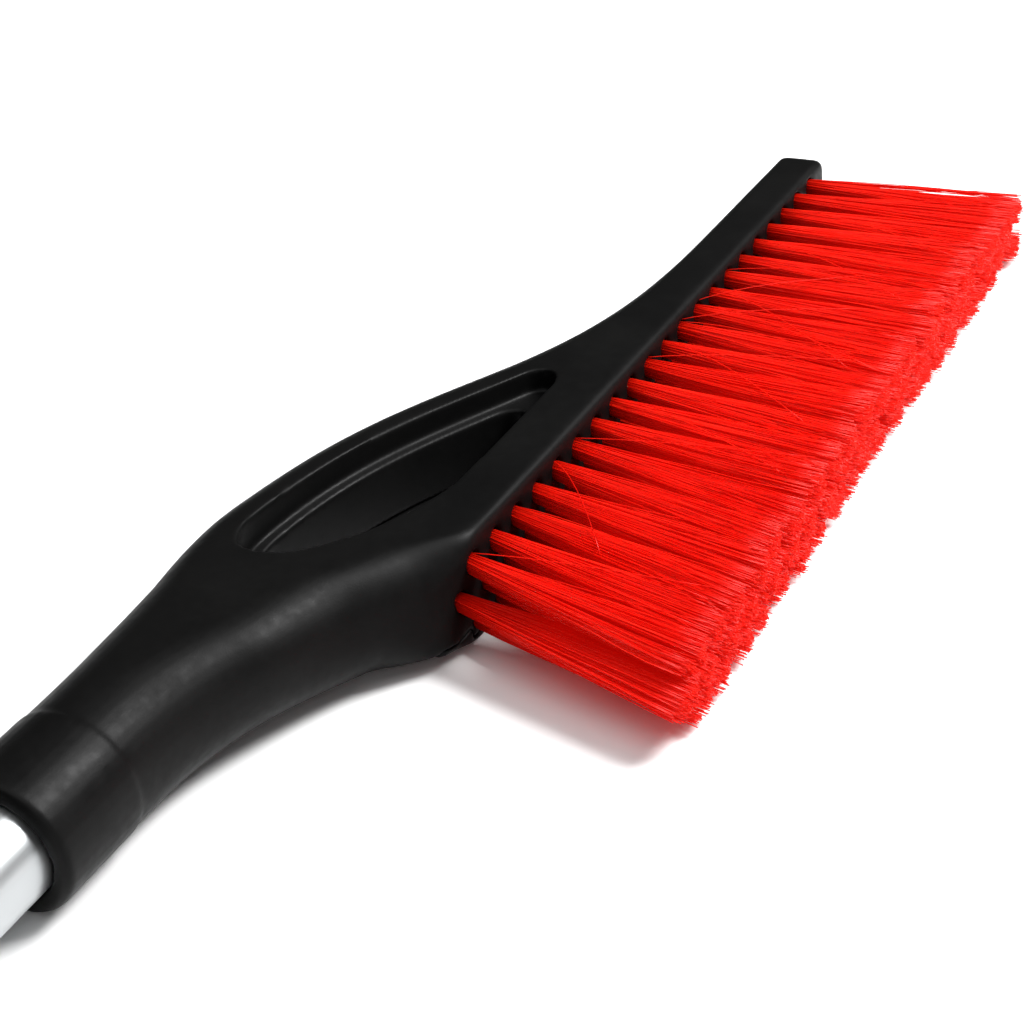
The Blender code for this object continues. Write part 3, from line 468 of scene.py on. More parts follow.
def red_plastic():
    """Glossy injection-moulded blade with hairline scratches."""
    n = Nodes("blade_red")
    place = n.place()
    mottle = n.noise(place, 45.0, 3.0)
    scratch = n.noise(n.place((40.0, 1100.0, 400.0)), 2.2, 3.0)
    lines = n.spread(scratch, 0.62, 0.72, 0.0, 1.0)
    n.socket("Base Color", n.blend(mottle, (0.56, 0.006, 0.004), (0.66, 0.011, 0.007)))
    rough = n.spread(mottle, *MIDDLE, 0.20, 0.30)
    n.socket("Roughness", n.math("ADD", rough, n.math("MULTIPLY", lines, 0.14)))
    n.socket("Specular IOR Level", 0.5)
    height = n.math("ADD", n.math("MULTIPLY", n.noise(place, 900.0), 0.3), n.math("MULTIPLY", lines, -0.6))
    n.socket("Normal", n.bump(height, 0.12, 0.0001))
    return n.material


def aluminium():
    """Satin anodised tube, drawn lengthways."""
    n = Nodes("tube_aluminium")
    drawn = n.noise(n.place((6.0, 1500.0, 1500.0)), 1.0, 4.0, 0.7)
    cloud = n.noise(n.place(), 30.0, 3.0)
    n.socket("Base Color", n.blend(cloud, (0.52, 0.54, 0.55), (0.62, 0.64, 0.65)))
    n.socket("Metallic", 1.0)
    rough = n.spread(drawn, *MIDDLE, 0.30, 0.42)
    n.socket("Roughness", n.math("ADD", rough, n.spread(cloud, *MIDDLE, -0.03, 0.03)))
    n.socket("Normal", n.bump(drawn, 0.18, 0.00006))
    return n.material


def foam():
    """Closed-cell foam: matt, with open cells and small pits; the pits carry painted shade."""
    n = Nodes("grip_foam")
    place = n.place()
    cells = n.voronoi(place, FOAM_CELLS)
    pits = n.spread(n.noise(place, FOAM_PITS, 2.0), 0.60, 0.72, 0.0, 1.0)
    cloud = n.noise(place, 28.0, 4.0)
    base = n.blend(cloud, (0.012, 0.012, 0.0125), (0.024, 0.0235, 0.023))
    # painted shade: the pits are painted near-black, as the shade that falls in them
    n.socket("Base Color", n.blend(pits, base, (0.005, 0.005, 0.005)))
    n.socket("Roughness", n.spread(cloud, *MIDDLE, 0.82, 0.95))
    n.socket("Specular IOR Level", 0.25)
    n.socket("Sheen Weight", 0.12)
    n.socket("Sheen Roughness", 0.5)
    height = n.math("SUBTRACT", n.math("MULTIPLY", cells, 0.8), pits)
    n.socket("Normal", n.bump(height, 0.5, 0.0003))
    return n.material


def zinc_steel():
    """Zinc-plated screw, slightly clouded and uneven."""
    n = Nodes("screw_zinc")
    place = n.place()
    cloud = n.noise(place, 420.0, 3.0)
    marks = n.noise(place, 2200.0, 2.0)
    n.socket("Base Color", n.blend(cloud, (0.44, 0.44, 0.42), (0.66, 0.665, 0.66)))
    n.socket("Metallic", 1.0)
    n.socket("Roughness", n.spread(cloud, *MIDDLE, 0.26, 0.44))
    n.socket("Normal", n.bump(marks, 0.2, 0.00005))
    return n.material


MOULDED = black_plastic()
BRISTLE = red_bristle()
BLADE_RED = red_plastic()
SATIN = aluminium()
FOAM = foam()
ZINC = zinc_steel()


# ---------------------------------------- head

def back_line():
    """Plan line of the back: the sleeve, the arch over the hand hole, then the beam."""
    peak = (HOLE_START + ARCH_PEAK, ARCH_BULGE)
    tail = (HOLE_END + ARCH_TAIL, BEAM_BACK)
    swell = bezier((SLEEVE_LENGTH, SLEEVE_RADIUS), (SLEEVE_LENGTH + ARCH_SWELL, SLEEVE_RADIUS),
                   (peak[0] - ARCH_RUN, ARCH_BULGE), peak, 24)
    drop = bezier(peak, (HOLE_END - ARCH_RUN, ARCH_BULGE), (HOLE_END - ARCH_DROP, BEAM_BACK), tail, 84)
    return swell + drop + [tail]


def front_line():
    """Plan line of the neck's foot, from the sleeve to just past the bristle face."""
    end = (BEAM_START + CREST_END, BEAM_FRONT - FACE_LEAN - FACE_PAST)
    run = end[0] - SLEEVE_LENGTH
    slope = NECK_STEEPNESS * (end[1] + SLEEVE_RADIUS) / run
    near, far = (share * run for share in NECK_PULLS)
    sweep = bezier((SLEEVE_LENGTH, -SLEEVE_RADIUS), (SLEEVE_LENGTH + near, -SLEEVE_RADIUS),
                   (end[0] - far, end[1] - slope * far), end, 60)
    return sweep + [end]


def top_height(x):
    """Height of the head's upper side."""
    beam = mix(BEAM_TOP_NEAR, BEAM_TOP_FAR, (x - BEAM_START) / (HEAD_LENGTH - BEAM_START))
    return mix(SLEEVE_RADIUS, beam, smooth_step((x - SLEEVE_LENGTH) / (NECK_LENGTH + CROWN_EASE)))


def bottom_height(x):
    """Height of the underside; the cover starts with a small step."""
    if x > COVER_START - GAP / 2:
        return mix(NECK_BOTTOM - COVER_LIP, HEAD_BOTTOM, smooth_step((x - COVER_START) / SOLE_EASE))
    return mix(-SLEEVE_RADIUS, NECK_BOTTOM, smooth_step((x - SLEEVE_LENGTH) / (NECK_RISE * NECK_LENGTH)))


def end_inset(x):
    """How far a section shrinks where an end is rounded."""
    if x < MOUTH_ROUNDING:
        return MOUTH_ROUNDING - math.sqrt(MOUTH_ROUNDING ** 2 - (MOUTH_ROUNDING - x) ** 2)
    if x > HEAD_LENGTH - END_ROUNDING:
        reach = x - (HEAD_LENGTH - END_ROUNDING)
        return END_ROUNDING - math.sqrt(max(END_ROUNDING ** 2 - reach ** 2, 0.0))
    return 0.0


def eased(depth):
    """The larger of a depth and nothing, with a smooth change from one to the other."""
    if depth >= CORNER_EASE:
        return depth
    return max(depth + CORNER_EASE, 0.0) ** 2 / (4 * CORNER_EASE)


def lean_back(ring, foot, face, back, bottom, top, lean):
    """Lean the front side of a section back towards its top, cut off by the bristle face."""
    front = max(foot, face)
    leaning = []
    for x, y, z in ring:
        share = (z - bottom) / (top - bottom)
        shift = face + eased(foot + lean * share - face) - front
        leaning.append((x, y + shift * (back - y) / (back - front), z))
    return leaning


def head_ring(x, front_points, back_points):
    """Section of the head: round at the sleeve, a rounded bar at the beam."""
    if x < COLLAR_LENGTH:
        radius = COLLAR_RADIUS - end_inset(x)
        return rounded_ring(x, -radius, radius, -radius, radius, (radius,) * 4)
    inset = end_inset(x)
    neck = smooth_step((x - SLEEVE_LENGTH) / NECK_LENGTH)
    past_arch = smooth_step((x - HOLE_END + ARCH_FADE_START) / ARCH_FADE_LENGTH)
    to_cover = smooth_step((x - COVER_START) / LOW_EDGE_LENGTH + 1)
    low_front = mix(mix(SLEEVE_RADIUS, LOW_RADIUS, to_cover), EDGE_RADIUS,
                    smooth_step((x - COVER_START) / LOW_EDGE_RUN))
    past_crest = smooth_step((x - BEAM_START - CREST_END) / CREST_FADE + 1)
    high_front = mix(mix(SLEEVE_RADIUS, CREST_RADIUS, neck), EDGE_RADIUS, past_crest)
    behind = mix(mix(SLEEVE_RADIUS, ARCH_RADIUS, neck ** 2), EDGE_RADIUS, past_arch)
    foot, back = line_height(front_points, x) + inset, line_height(back_points, x) - inset
    face = BEAM_FRONT + inset
    bottom, top = bottom_height(x) + inset, top_height(x) - inset
    ring = rounded_ring(x, max(foot, face), back, bottom, top, (low_front, behind, behind, high_front))
    lean = FACE_LEAN * smooth_step((x - SLEEVE_LENGTH - LEAN_START) / LEAN_FADE)
    return lean_back(ring, foot, face, back, bottom, top, lean)


def quarter(length):
    """Places of the sections of a rounded end, from 0 to its length."""
    return [length * (1 - math.cos(math.radians(angle))) for angle in range(0, 91, 15)]


def head_mesh(name):
    """The head's outer form in close sections."""
    free_end = [HEAD_LENGTH - value for value in reversed(quarter(END_ROUNDING))]
    start = COLLAR_LENGTH + GAP
    even = [mix(start, free_end[0], index / HEAD_SECTIONS) for index in range(HEAD_SECTIONS)]
    even = [x for x in even if abs(x - COVER_START) > GAP]
    at_step = [COVER_START - share * GAP for share in STEP_SECTIONS]
    stations = sorted(quarter(MOUTH_ROUNDING) + [COLLAR_LENGTH - GAP] + even + at_step + free_end)
    front_points, back_points = front_line(), back_line()
    return lofted_mesh(name, [head_ring(x, front_points, back_points) for x in stations])


def hole_outline(inset=0.0):
    """Outline of the hand hole: straight along the beam, round at both ends, then the arch."""
    front = HOLE_FRONT + inset
    near_x = HOLE_START + inset
    arch = offset_line(back_line(), ARCH_WIDTH + inset)
    arch = [point for point in arch
            if point[0] > near_x + HOLE_FIRST * HOLE_BLEND and point[1] > front + HOLE_LAST * HOLE_TIP]
    first, last = arch[0], arch[-1]
    ahead, down, past, before = (share * HOLE_TIP for share in TIP_PULLS)
    tip_end = (last[0] - before, front)
    tip = bezier(last, (last[0] + ahead, last[1] - down), (last[0] + past, front), tip_end, 14)
    overshoot, share, retreat = BLEND_PULLS
    round_end = bezier((near_x + HOLE_BLEND, front),
                       (near_x - overshoot * HOLE_BLEND, mix(front, first[1], share)),
                       (near_x - retreat * HOLE_BLEND, first[1] + BLEND_RISE), first, 30)
    return arch + tip[1:] + [tip_end] + round_end


def cover_space(clearance):
    """The space below the head that the cover fills."""
    floor = HEAD_BOTTOM - CUT
    side = 60.0 * MM               # well past the head's sides
    space = new_object("cover_space", box_mesh(
        "cover_space", (COVER_START - clearance, -side, floor),
        (HEAD_LENGTH + CUT, side, HEAD_BOTTOM + COVER_THICK + clearance)))
    cut(space, [box_mesh("kept", (THIN_START + clearance, -side, HEAD_BOTTOM + COVER_THIN + clearance),
                         (HEAD_LENGTH + 2 * CUT, HOLE_FRONT - clearance, HEAD_BOTTOM + COVER_THICK + CUT))])
    mesh = space.data.copy()
    bpy.data.objects.remove(space)
    return mesh


def bore_meshes():
    """Shallow mouths of the bristle bores, a mesh for each row."""
    meshes = []
    turn = Matrix.Rotation(math.radians(90), 4, "X")
    for _, height, _, shift in ROWS:
        bm = bmesh.new()
        for index in range(TUFTS_PER_ROW):
            x = FIRST_TUFT + (index + shift) * TUFT_PITCH
            place = Matrix.Translation((x, BEAM_FRONT, height))
            bmesh.ops.create_cone(bm, cap_ends=True, segments=24, radius1=TUFT_BORE, radius2=TUFT_BORE,
                                  depth=2 * CUT, matrix=place @ turn)
        meshes.append(bm_mesh("bores", bm))
    return meshes


def screw_centre(node):
    """Middle of a screw in the handle's axes."""
    low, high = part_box(node)
    return (low + high) / 2 - ORIGIN


COVER_SCREWS = [name for name in NODES if name.startswith("cover_screw")]


def screw_cutters(x, y, start, end, seat):
    """A screw's hole from start to end, and the seat of its head from start up."""
    return [cylinder_mesh("hole", SCREW_BORE, (x, y, start), (x, y, end)),
            cylinder_mesh("seat", SCREW_HEAD_RADIUS + GAP, (x, y, start), (x, y, seat))]


def make_head():
    """The moulded head and the cover under it."""
    high = SLEEVE_RADIUS + CUT
    low = HEAD_BOTTOM - CUT
    body = new_object("brush_head", head_mesh("brush_head"))
    cut(body, [
        cover_space(GAP),
        prism("upper", hole_outline(), LEDGE_HEIGHT, high),
        prism("lower", hole_outline(LEDGE_WIDTH), low, high),
        cylinder_mesh("socket", TUBE_HIGH.z - ORIGIN.z + GAP, (-CUT, 0, 0), (SOCKET_DEPTH, 0, 0), 96),
        *bore_meshes(),
    ])
    place = screw_centre("tube_screw_head")
    cut(body, screw_cutters(place.x, 0, -COLLAR_RADIUS - CUT, 0, -COLLAR_RADIUS + SCREW_HEAD_HEIGHT + GAP))
    soften(body, HEAD_VOXEL, HEAD_ROUNDS)
    finish_piece(body, MOULDED, ["head_body"])

    cover = new_object("head_underside", head_mesh("head_underside"))
    cut(cover, [cover_space(0.0)], "INTERSECT")
    cut(cover, [prism("opening", hole_outline(COVER_HOLE_INSET), low, high)])
    for name in COVER_SCREWS:
        place = screw_centre(name)
        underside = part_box(name)[0].z - ORIGIN.z
        cut(cover, screw_cutters(place.x, place.y, low, high, underside + SCREW_HEAD_HEIGHT))
    soften(cover, COVER_VOXEL, COVER_ROUNDS)
    finish_piece(cover, MOULDED, ["head_cover"])


# ---------------------------------------- bristles
FILAMENTS = 210                    # in each tuft
FILAMENT_RADIUS = 0.13 * MM
FILAMENT_STEPS = 8
BUNDLE_RADIUS = 1.95 * MM          # of a tuft at its root
BUNDLE_WIDE = 6.3 * MM             # half width of a tuft's tips
BUNDLE_HIGH = 2.9 * MM             # half height of a tuft's tips
FILAMENT_START = 3.0 * MM          # inside the bore
TURN = 6.28                        # range of random starting angles

CLUMPS = 9                         # strands in a tuft
DISC_EDGE = 0.995                  # keeps the outermost points off the square's border
STRAND_PULL = 0.24                 # most that a filament is drawn to its strand's middle
STRAND_SHIFT = (0.09, 0.08)        # of a strand's tips along X and Z, as shares of a tuft's half sizes

STEP_POWER = 0.9                   # steps are closer together at the root
WIDEN_POWER = 1.3                  # how early a tuft spreads
WIDE_RANGE = (0.88, 1.08)          # of a tuft's tips, against BUNDLE_WIDE
HIGH_RANGE = (0.9, 1.08)
TUFT_LEAN = (1.1 * MM, 0.35 * MM)  # of a whole tuft along X and Z
BEND = (0.55 * MM, 0.40 * MM)      # of a single filament
WAVE = 0.16 * MM
WAVE_TURNS = (0.7, 2.1)
WAVE_POWER = 0.7
SWING = 3.4 * MM                   # of a wild filament, sideways
LIFT = 1.3 * MM                    # of a wild filament, upwards
LIFT_POWER = 1.5
WILD_SHARE = {"top": 0.025, "middle": 0.01, "bottom": 0.01}

TUFT_REACH = 0.45 * MM             # differences in length from tuft to tuft
FILAMENT_REACH = 0.25 * MM         # and from filament to filament
CORNER_SHORTER = 2.0 * MM          # at a tuft's sides
CORNER_POWER = 2.4
SHORT_SHARE = 0.06                 # filaments that are clearly shorter, by SHORTER millimetres
SHORTER = (0.5, 5.0)
LONGEST_PAST = 0.9 * MM
TONE_MEAN, TONE_SPREAD = 0.5, 0.22


def disc_to_square(a, b):
    """Points of a disc spread over a square."""
    root = 2 * math.sqrt(2)
    u = 0.5 * (np.sqrt(np.maximum(2 + a * a - b * b + root * a, 0))
               - np.sqrt(np.maximum(2 + a * a - b * b - root * a, 0)))
    v = 0.5 * (np.sqrt(np.maximum(2 - a * a + b * b + root * b, 0))
               - np.sqrt(np.maximum(2 - a * a + b * b - root * b, 0)))
    return u, v


def tuft_paths(rng, x, root_z, tip_z, wild):
    """Points of every filament of one tuft: an array of filament, step, axis."""
    # a sunflower pattern in the bore, spread over a square at the tips
    count = FILAMENTS
    order = (np.arange(count) + 0.5) / count
    radius = np.sqrt(order)
    angle = np.arange(count) * math.pi * (3 - math.sqrt(5)) + rng.uniform(0, TURN)
    a = radius * np.cos(angle)
    b = radius * np.sin(angle)
    u, v = disc_to_square(a * DISC_EDGE, b * DISC_EDGE)

    # neighbouring filaments cling together in strands
    centre_angle = rng.uniform(0, 2 * math.pi, CLUMPS)
    centre_radius = np.sqrt(rng.uniform(0, 1, CLUMPS))
    cu, cv = disc_to_square(centre_radius * np.cos(centre_angle), centre_radius * np.sin(centre_angle))
    nearest = np.argmin((u[:, None] - cu) ** 2 + (v[:, None] - cv) ** 2, axis=1)
    pull = rng.uniform(0.0, STRAND_PULL, CLUMPS)[nearest]
    strand_x = rng.normal(0, STRAND_SHIFT[0], CLUMPS)[nearest]
    strand_z = rng.normal(0, STRAND_SHIFT[1], CLUMPS)[nearest]
    tip_u = mix(u, cu[nearest], pull) + strand_x
    tip_v = mix(v, cv[nearest], pull) + strand_z

    # the whole tuft
    t = np.linspace(0, 1, FILAMENT_STEPS + 1) ** STEP_POWER
    t = t[None, :]
    widen = 1 - (1 - t) ** WIDEN_POWER
    wide = BUNDLE_WIDE * rng.uniform(*WIDE_RANGE)
    high = BUNDLE_HIGH * rng.uniform(*HIGH_RANGE)
    lean_x = rng.normal(0, TUFT_LEAN[0])
    lean_z = rng.normal(0, TUFT_LEAN[1])
    centre = SPREAD_CENTRE + (x - SPREAD_CENTRE) * (1 + (TIP_SPREAD - 1) * t)

    # each filament's own bend and wave, and a few wild ones
    bend_x = rng.normal(0, BEND[0], count)[:, None]
    bend_z = rng.normal(0, BEND[1], count)[:, None]
    wave = rng.normal(0, WAVE, (2, count))[:, :, None]
    turns = rng.uniform(*WAVE_TURNS, (2, count))[:, :, None]
    phase = rng.uniform(0, 2 * math.pi, (2, count))[:, :, None]
    wave_x = wave[0] * np.sin(turns[0] * t * 2 * math.pi + phase[0]) * t ** WAVE_POWER
    wave_z = wave[1] * np.sin(turns[1] * t * 2 * math.pi + phase[1]) * t ** WAVE_POWER

    loose = rng.uniform(0, 1, count) < wild
    swing = np.where(loose, rng.normal(0, SWING, count), 0.0)[:, None]
    lift = np.where(loose, np.abs(rng.normal(0, LIFT, count)), 0.0)[:, None]

    px = centre + mix(a[:, None] * BUNDLE_RADIUS, tip_u[:, None] * wide, widen)
    px = px + lean_x * t ** 2 + bend_x * t ** 2 + wave_x + swing * t ** 2
    pz = mix(root_z, tip_z, t) + mix(b[:, None] * BUNDLE_RADIUS, tip_v[:, None] * high, widen)
    pz = pz + lean_z * t ** 2 + bend_z * t ** 2 + wave_z + lift * t ** LIFT_POWER

    reach = BRISTLE_LENGTH + rng.normal(0, TUFT_REACH) - CORNER_SHORTER * np.abs(tip_u) ** CORNER_POWER
    reach = reach + rng.normal(0, FILAMENT_REACH, count)
    is_short = rng.uniform(0, 1, count) < SHORT_SHARE
    reach = np.where(is_short, reach - rng.uniform(*SHORTER, count) * MM, reach)
    reach = np.minimum(reach, BRISTLE_LENGTH + LONGEST_PAST)[:, None]
    py = BEAM_FRONT + FILAMENT_START - t * (reach + FILAMENT_START)
    return np.stack([px, np.broadcast_to(py, px.shape), pz], axis=2)


STRAY_TURN = 1.3                   # how late a stray turns sideways
STRAY_CREST = 0.8                  # how early it is highest
STRAYS = (                         # tuft of the top row, run along X and Y, rise: in millimetres
    (0, 8, 50, 1.4), (2, -11, 53, 1.2), (4, -30, 24, 2.2), (5, 13, 52, 1.5), (7, -17, 49, 1.6),
    (9, 18, 46, 2.0), (10, -24, 44, 1.6), (11, 24, 40, 2.6), (11, -6, 55, 2.2), (12, 31, 33, 3.0),
    (12, -15, 51, 1.8), (13, -27, 45, 1.6), (14, 14, 54, 2.4), (16, -20, 47, 1.6), (18, -12, 52, 1.8),
)


def stray_path(x, root_z, tip_z, run_x, run_y, rise):
    """One loose filament lying across its neighbours."""
    t = np.linspace(0, 1, FILAMENT_STEPS + 1)
    reach = FILAMENT_START + run_y * MM
    share = t * run_y * MM / BRISTLE_LENGTH
    px = x + run_x * MM * t ** STRAY_TURN
    py = BEAM_FRONT + FILAMENT_START - t * reach
    pz = mix(root_z + BUNDLE_RADIUS, tip_z + BUNDLE_HIGH, share)
    pz = pz + rise * MM * np.sin(math.pi * t ** STRAY_CREST)
    return np.stack([px, py, pz], axis=1)[None, :, :]


def filament_mesh(name, paths, tones, radius):
    """Three-sided filaments with closed ends along the paths, with their tone and place along them."""
    count, steps, _ = paths.shape
    tangent = np.gradient(paths, axis=1)
    tangent /= np.linalg.norm(tangent, axis=2, keepdims=True)
    side = np.cross(tangent, np.array([0.0, 0.0, 1.0]))
    side /= np.linalg.norm(side, axis=2, keepdims=True)
    up = np.cross(side, tangent)
    verts = np.empty((count, steps, 3, 3))
    start = np.linspace(0, 2 * math.pi, count)[:, None, None]
    for corner in range(3):
        angle = start + corner * 2 * math.pi / 3
        verts[:, :, corner, :] = paths + radius * (np.cos(angle) * side + np.sin(angle) * up)
    index = np.arange(count * steps * 3).reshape(count, steps, 3)
    quads = []
    for corner in range(3):
        following = (corner + 1) % 3
        quads.append(np.stack([index[:, :-1, corner], index[:, :-1, following],
                               index[:, 1:, following], index[:, 1:, corner]], axis=2).reshape(-1, 4))
    quads = np.concatenate(quads)
    caps = np.concatenate([index[:, 0, ::-1], index[:, -1, :]])
    mesh = bpy.data.meshes.new(name)
    mesh.from_pydata(verts.reshape(-1, 3).tolist(), [], quads.tolist() + caps.tolist())
    tone = mesh.attributes.new("tone", "FLOAT", "POINT")
    tone.data.foreach_set("value", np.repeat(tones, steps * 3).astype(np.float32))
    along = mesh.attributes.new("along", "FLOAT", "POINT")
    share = np.tile(np.repeat(np.linspace(0, 1, steps), 3), count)
    along.data.foreach_set("value", share.astype(np.float32))
    mesh.shade_smooth()
    return mesh


def make_bristles():
    """Every tuft of the three rows, in one piece for each node."""
    rng = np.random.default_rng(SEED)
    for row, root_z, tip_z, shift in ROWS:
        for group in range(GROUPS_PER_ROW):
            node = f"tufts_{row}_{group + 1}"
            paths = []
            for tuft in range(TUFTS_PER_GROUP):
                x = FIRST_TUFT + (group * TUFTS_PER_GROUP + tuft + shift) * TUFT_PITCH
                paths.append(tuft_paths(rng, x, root_z, tip_z, WILD_SHARE[row]))
            for tuft, run_x, run_y, rise in STRAYS:
                if row == "top" and tuft // TUFTS_PER_GROUP == group:
                    x = FIRST_TUFT + tuft * TUFT_PITCH
                    paths.append(stray_path(x, root_z, tip_z, run_x, run_y, rise))
            paths = np.concatenate(paths)
            tones = np.clip(rng.normal(TONE_MEAN, TONE_SPREAD, len(paths)), 0, 1)
            obj = new_object(f"filaments_{row}_{group + 1}",
                             filament_mesh(node, paths, tones, FILAMENT_RADIUS))
            finish_piece(obj, BRISTLE, [node])


# ---------------------------------------- handle
TUBE_WALL = 1.2 * MM
TUBE_EDGE = 0.25 * MM
TUBE_SECTIONS = 40
GROOVE_DEPTH = 0.9 * MM
GROOVE_WIDTH = 3.0 * MM
GROOVE_SHARE = 0.36                # share of its width where a groove has lost two thirds of its depth
GROOVES = 3
GRIP_CLEARANCE = 0.15 * MM         # to the tube
GRIP_ROUNDING = 3.5 * MM
GRIP_BORE_EDGE = 0.6 * MM
GRIP_SECTIONS = 260
SKIN_WAVES = 26                    # waves that make the foam's skin uneven
SKIN_WAVE_NUMBER = 260.0           # radians per metre
SKIN_WAVE_HEIGHT = 0.014 * MM
SKIN_INSET = 0.08 * MM             # keeps the uneven skin inside the node's box
SKIN_START = 0.4                   # share of the foam's thickness where the skin begins
SKIN_SEED = SEED + 5


def revolve(name, profile, segments):
    """A closed profile of (x, radius) turned about the X axis."""
    angles = np.linspace(0, 2 * math.pi, segments, endpoint=False)
    count = len(profile)
    verts = []
    for x, radius in profile:
        for angle in angles:
            verts.append((x, radius * math.cos(angle), radius * math.sin(angle)))
    faces = []
    for row in range(count):
        following_row = (row + 1) % count
        for step in range(segments):
            following = (step + 1) % segments
            faces.append((row * segments + step, row * segments + following,
                          following_row * segments + following, following_row * segments + step))
    mesh = bpy.data.meshes.new(name)
    mesh.from_pydata(verts, [], faces)
    bm = bmesh.new()
    bm.from_mesh(mesh)
    bmesh.ops.recalc_face_normals(bm, faces=bm.faces)
    bm.to_mesh(mesh)
    bm.free()
    return mesh


def make_tube():
    """The bare tube, with its edges broken."""
    start = TUBE_LOW.x - ORIGIN.x
    end = TUBE_HIGH.x - ORIGIN.x
    outer = TUBE_HIGH.z - ORIGIN.z
    inner = outer - TUBE_WALL
    edge = TUBE_EDGE
    profile = [(start, outer - edge), (start + edge, outer)]
    profile += [(mix(start + edge, end - edge, index / TUBE_SECTIONS), outer)
                for index in range(1, TUBE_SECTIONS)]
    profile += [(end - edge, outer), (end, outer - edge), (end, inner + edge), (end - edge, inner),
                (start + edge, inner), (start, inner + edge)]
    tube = new_object("tube", revolve("tube", profile, 128))
    tube.data.shade_smooth()
    tube.data.set_sharp_from_angle(angle=math.radians(35))
    finish_piece(tube, SATIN, ["handle_tube"])


def grip_profile(low, high, radius, bore):
    """Outline of the foam: rolled ends and grooves outside, a straight bore."""
    middles = [mix(high, low, (index + 1) / (GROOVES + 1)) for index in range(GROOVES)]
    first, last = low + GRIP_ROUNDING, high - GRIP_ROUNDING
    body = []
    for index in range(GRIP_SECTIONS + 1):
        x = mix(first, last, index / GRIP_SECTIONS)
        dip = sum(GROOVE_DEPTH * math.exp(-((x - middle) / (GROOVE_SHARE * GROOVE_WIDTH)) ** 2)
                  for middle in middles)
        body.append((x, radius - dip))

    def rolled(angle):
        """How far along the axis and how far inwards a point of the rolled end lies."""
        turned = math.radians(angle)
        return GRIP_ROUNDING * (1 - math.cos(turned)), GRIP_ROUNDING * (1 - math.sin(turned))
    near = [(low + along, radius - inwards) for along, inwards in map(rolled, range(0, 90, 8))]
    far = [(high - along, radius - inwards) for along, inwards in map(rolled, range(88, -1, -8))]
    return ([(low, bore + GRIP_BORE_EDGE)] + near + body + far
            + [(high, bore + GRIP_BORE_EDGE), (high - GRIP_BORE_EDGE, bore), (low + GRIP_BORE_EDGE, bore)])


def make_skin_uneven(mesh, radius, bore):
    """Press the foam's outer skin in and out by up to about a tenth of a millimetre."""
    rng = np.random.default_rng(SKIN_SEED)
    co = np.empty(len(mesh.vertices) * 3)
    mesh.vertices.foreach_get("co", co)
    co = co.reshape(-1, 3)
    r = np.hypot(co[:, 1], co[:, 2])
    skin = r > bore + SKIN_START * (radius - bore)
    push = np.zeros(len(co))
    for _ in range(SKIN_WAVES):
        direction = rng.normal(0, SKIN_WAVE_NUMBER, 3)
        push += np.sin(co @ direction + rng.uniform(0, TURN)) * SKIN_WAVE_HEIGHT
    push = np.where(skin, push - SKIN_INSET, 0.0)
    scale = 1 + push / r
    co[:, 1] *= scale
    co[:, 2] *= scale
    mesh.vertices.foreach_set("co", co.ravel())


def make_grip():
    """Foam sleeve: soft rolled ends, pressed grooves and a slightly uneven skin."""
    radius = GRIP_HIGH.z - ORIGIN.z
    bore = TUBE_HIGH.z - ORIGIN.z + GRIP_CLEARANCE
    profile = grip_profile(GRIP_LOW.x - ORIGIN.x, GRIP_HIGH.x - ORIGIN.x, radius, bore)
    grip = new_object("grip_sleeve", revolve("grip", profile, 120))
    make_skin_uneven(grip.data, radius, bore)
    grip.data.shade_smooth()
    finish_piece(grip, FOAM, ["foam_grip"])


# ---------------------------------------- scraper
SCRAPER_START = HOLDER_HIGH.x - ORIGIN.x
SOCKET_RADIUS = 14.6 * MM
SOCKET_LENGTH = 42.0 * MM
FLARE_START = SCRAPER_START - SOCKET_LENGTH
FLARE_LENGTH = 44.0 * MM
FLARE_END = HOLDER_LOW.x - ORIGIN.x
FLARE_WIDTH = 98.0 * MM
FLARE_THICKNESS = 11.0 * MM
FLARE_WIDTH_SHARE = 0.86           # share of the flare over which it widens
FLARE_HEIGHT_SHARE = 0.7           # share over which it flattens
HOLDER_SECTIONS = 70
HOLDER_VOXEL, HOLDER_ROUNDS = 0.6 * MM, 4
BLADE_THICKNESS = 3.2 * MM
BLADE_ROOT_WIDTH = 90.0 * MM
BLADE_WIDTH = 104.0 * MM
BLADE_INSERT = 18.0 * MM
BLADE_EDGE = 0.7 * MM
BLADE_BEVEL = 9.0 * MM
BLADE_CORNER = 4.0 * MM
TOOTH_COUNT = 9
TOOTH_SIZE = 5.0 * MM
TOOTH_HEIGHT = 1.6 * MM
TOOTH_SETBACK = 2.0 * MM           # teeth behind the bevel
TOOTH_MARGIN = 6.0 * MM            # free strip beside the outer teeth
TOOTH_HALF_WIDTH = 0.3 * TOOTH_SIZE
TOOTH_LENGTH = 3 * TOOTH_SIZE
BLADE_STRAIGHT = 4.0 * MM          # parallel sides in front of the holder
BLADE_VOXEL, BLADE_ROUNDS = 0.4 * MM, 2


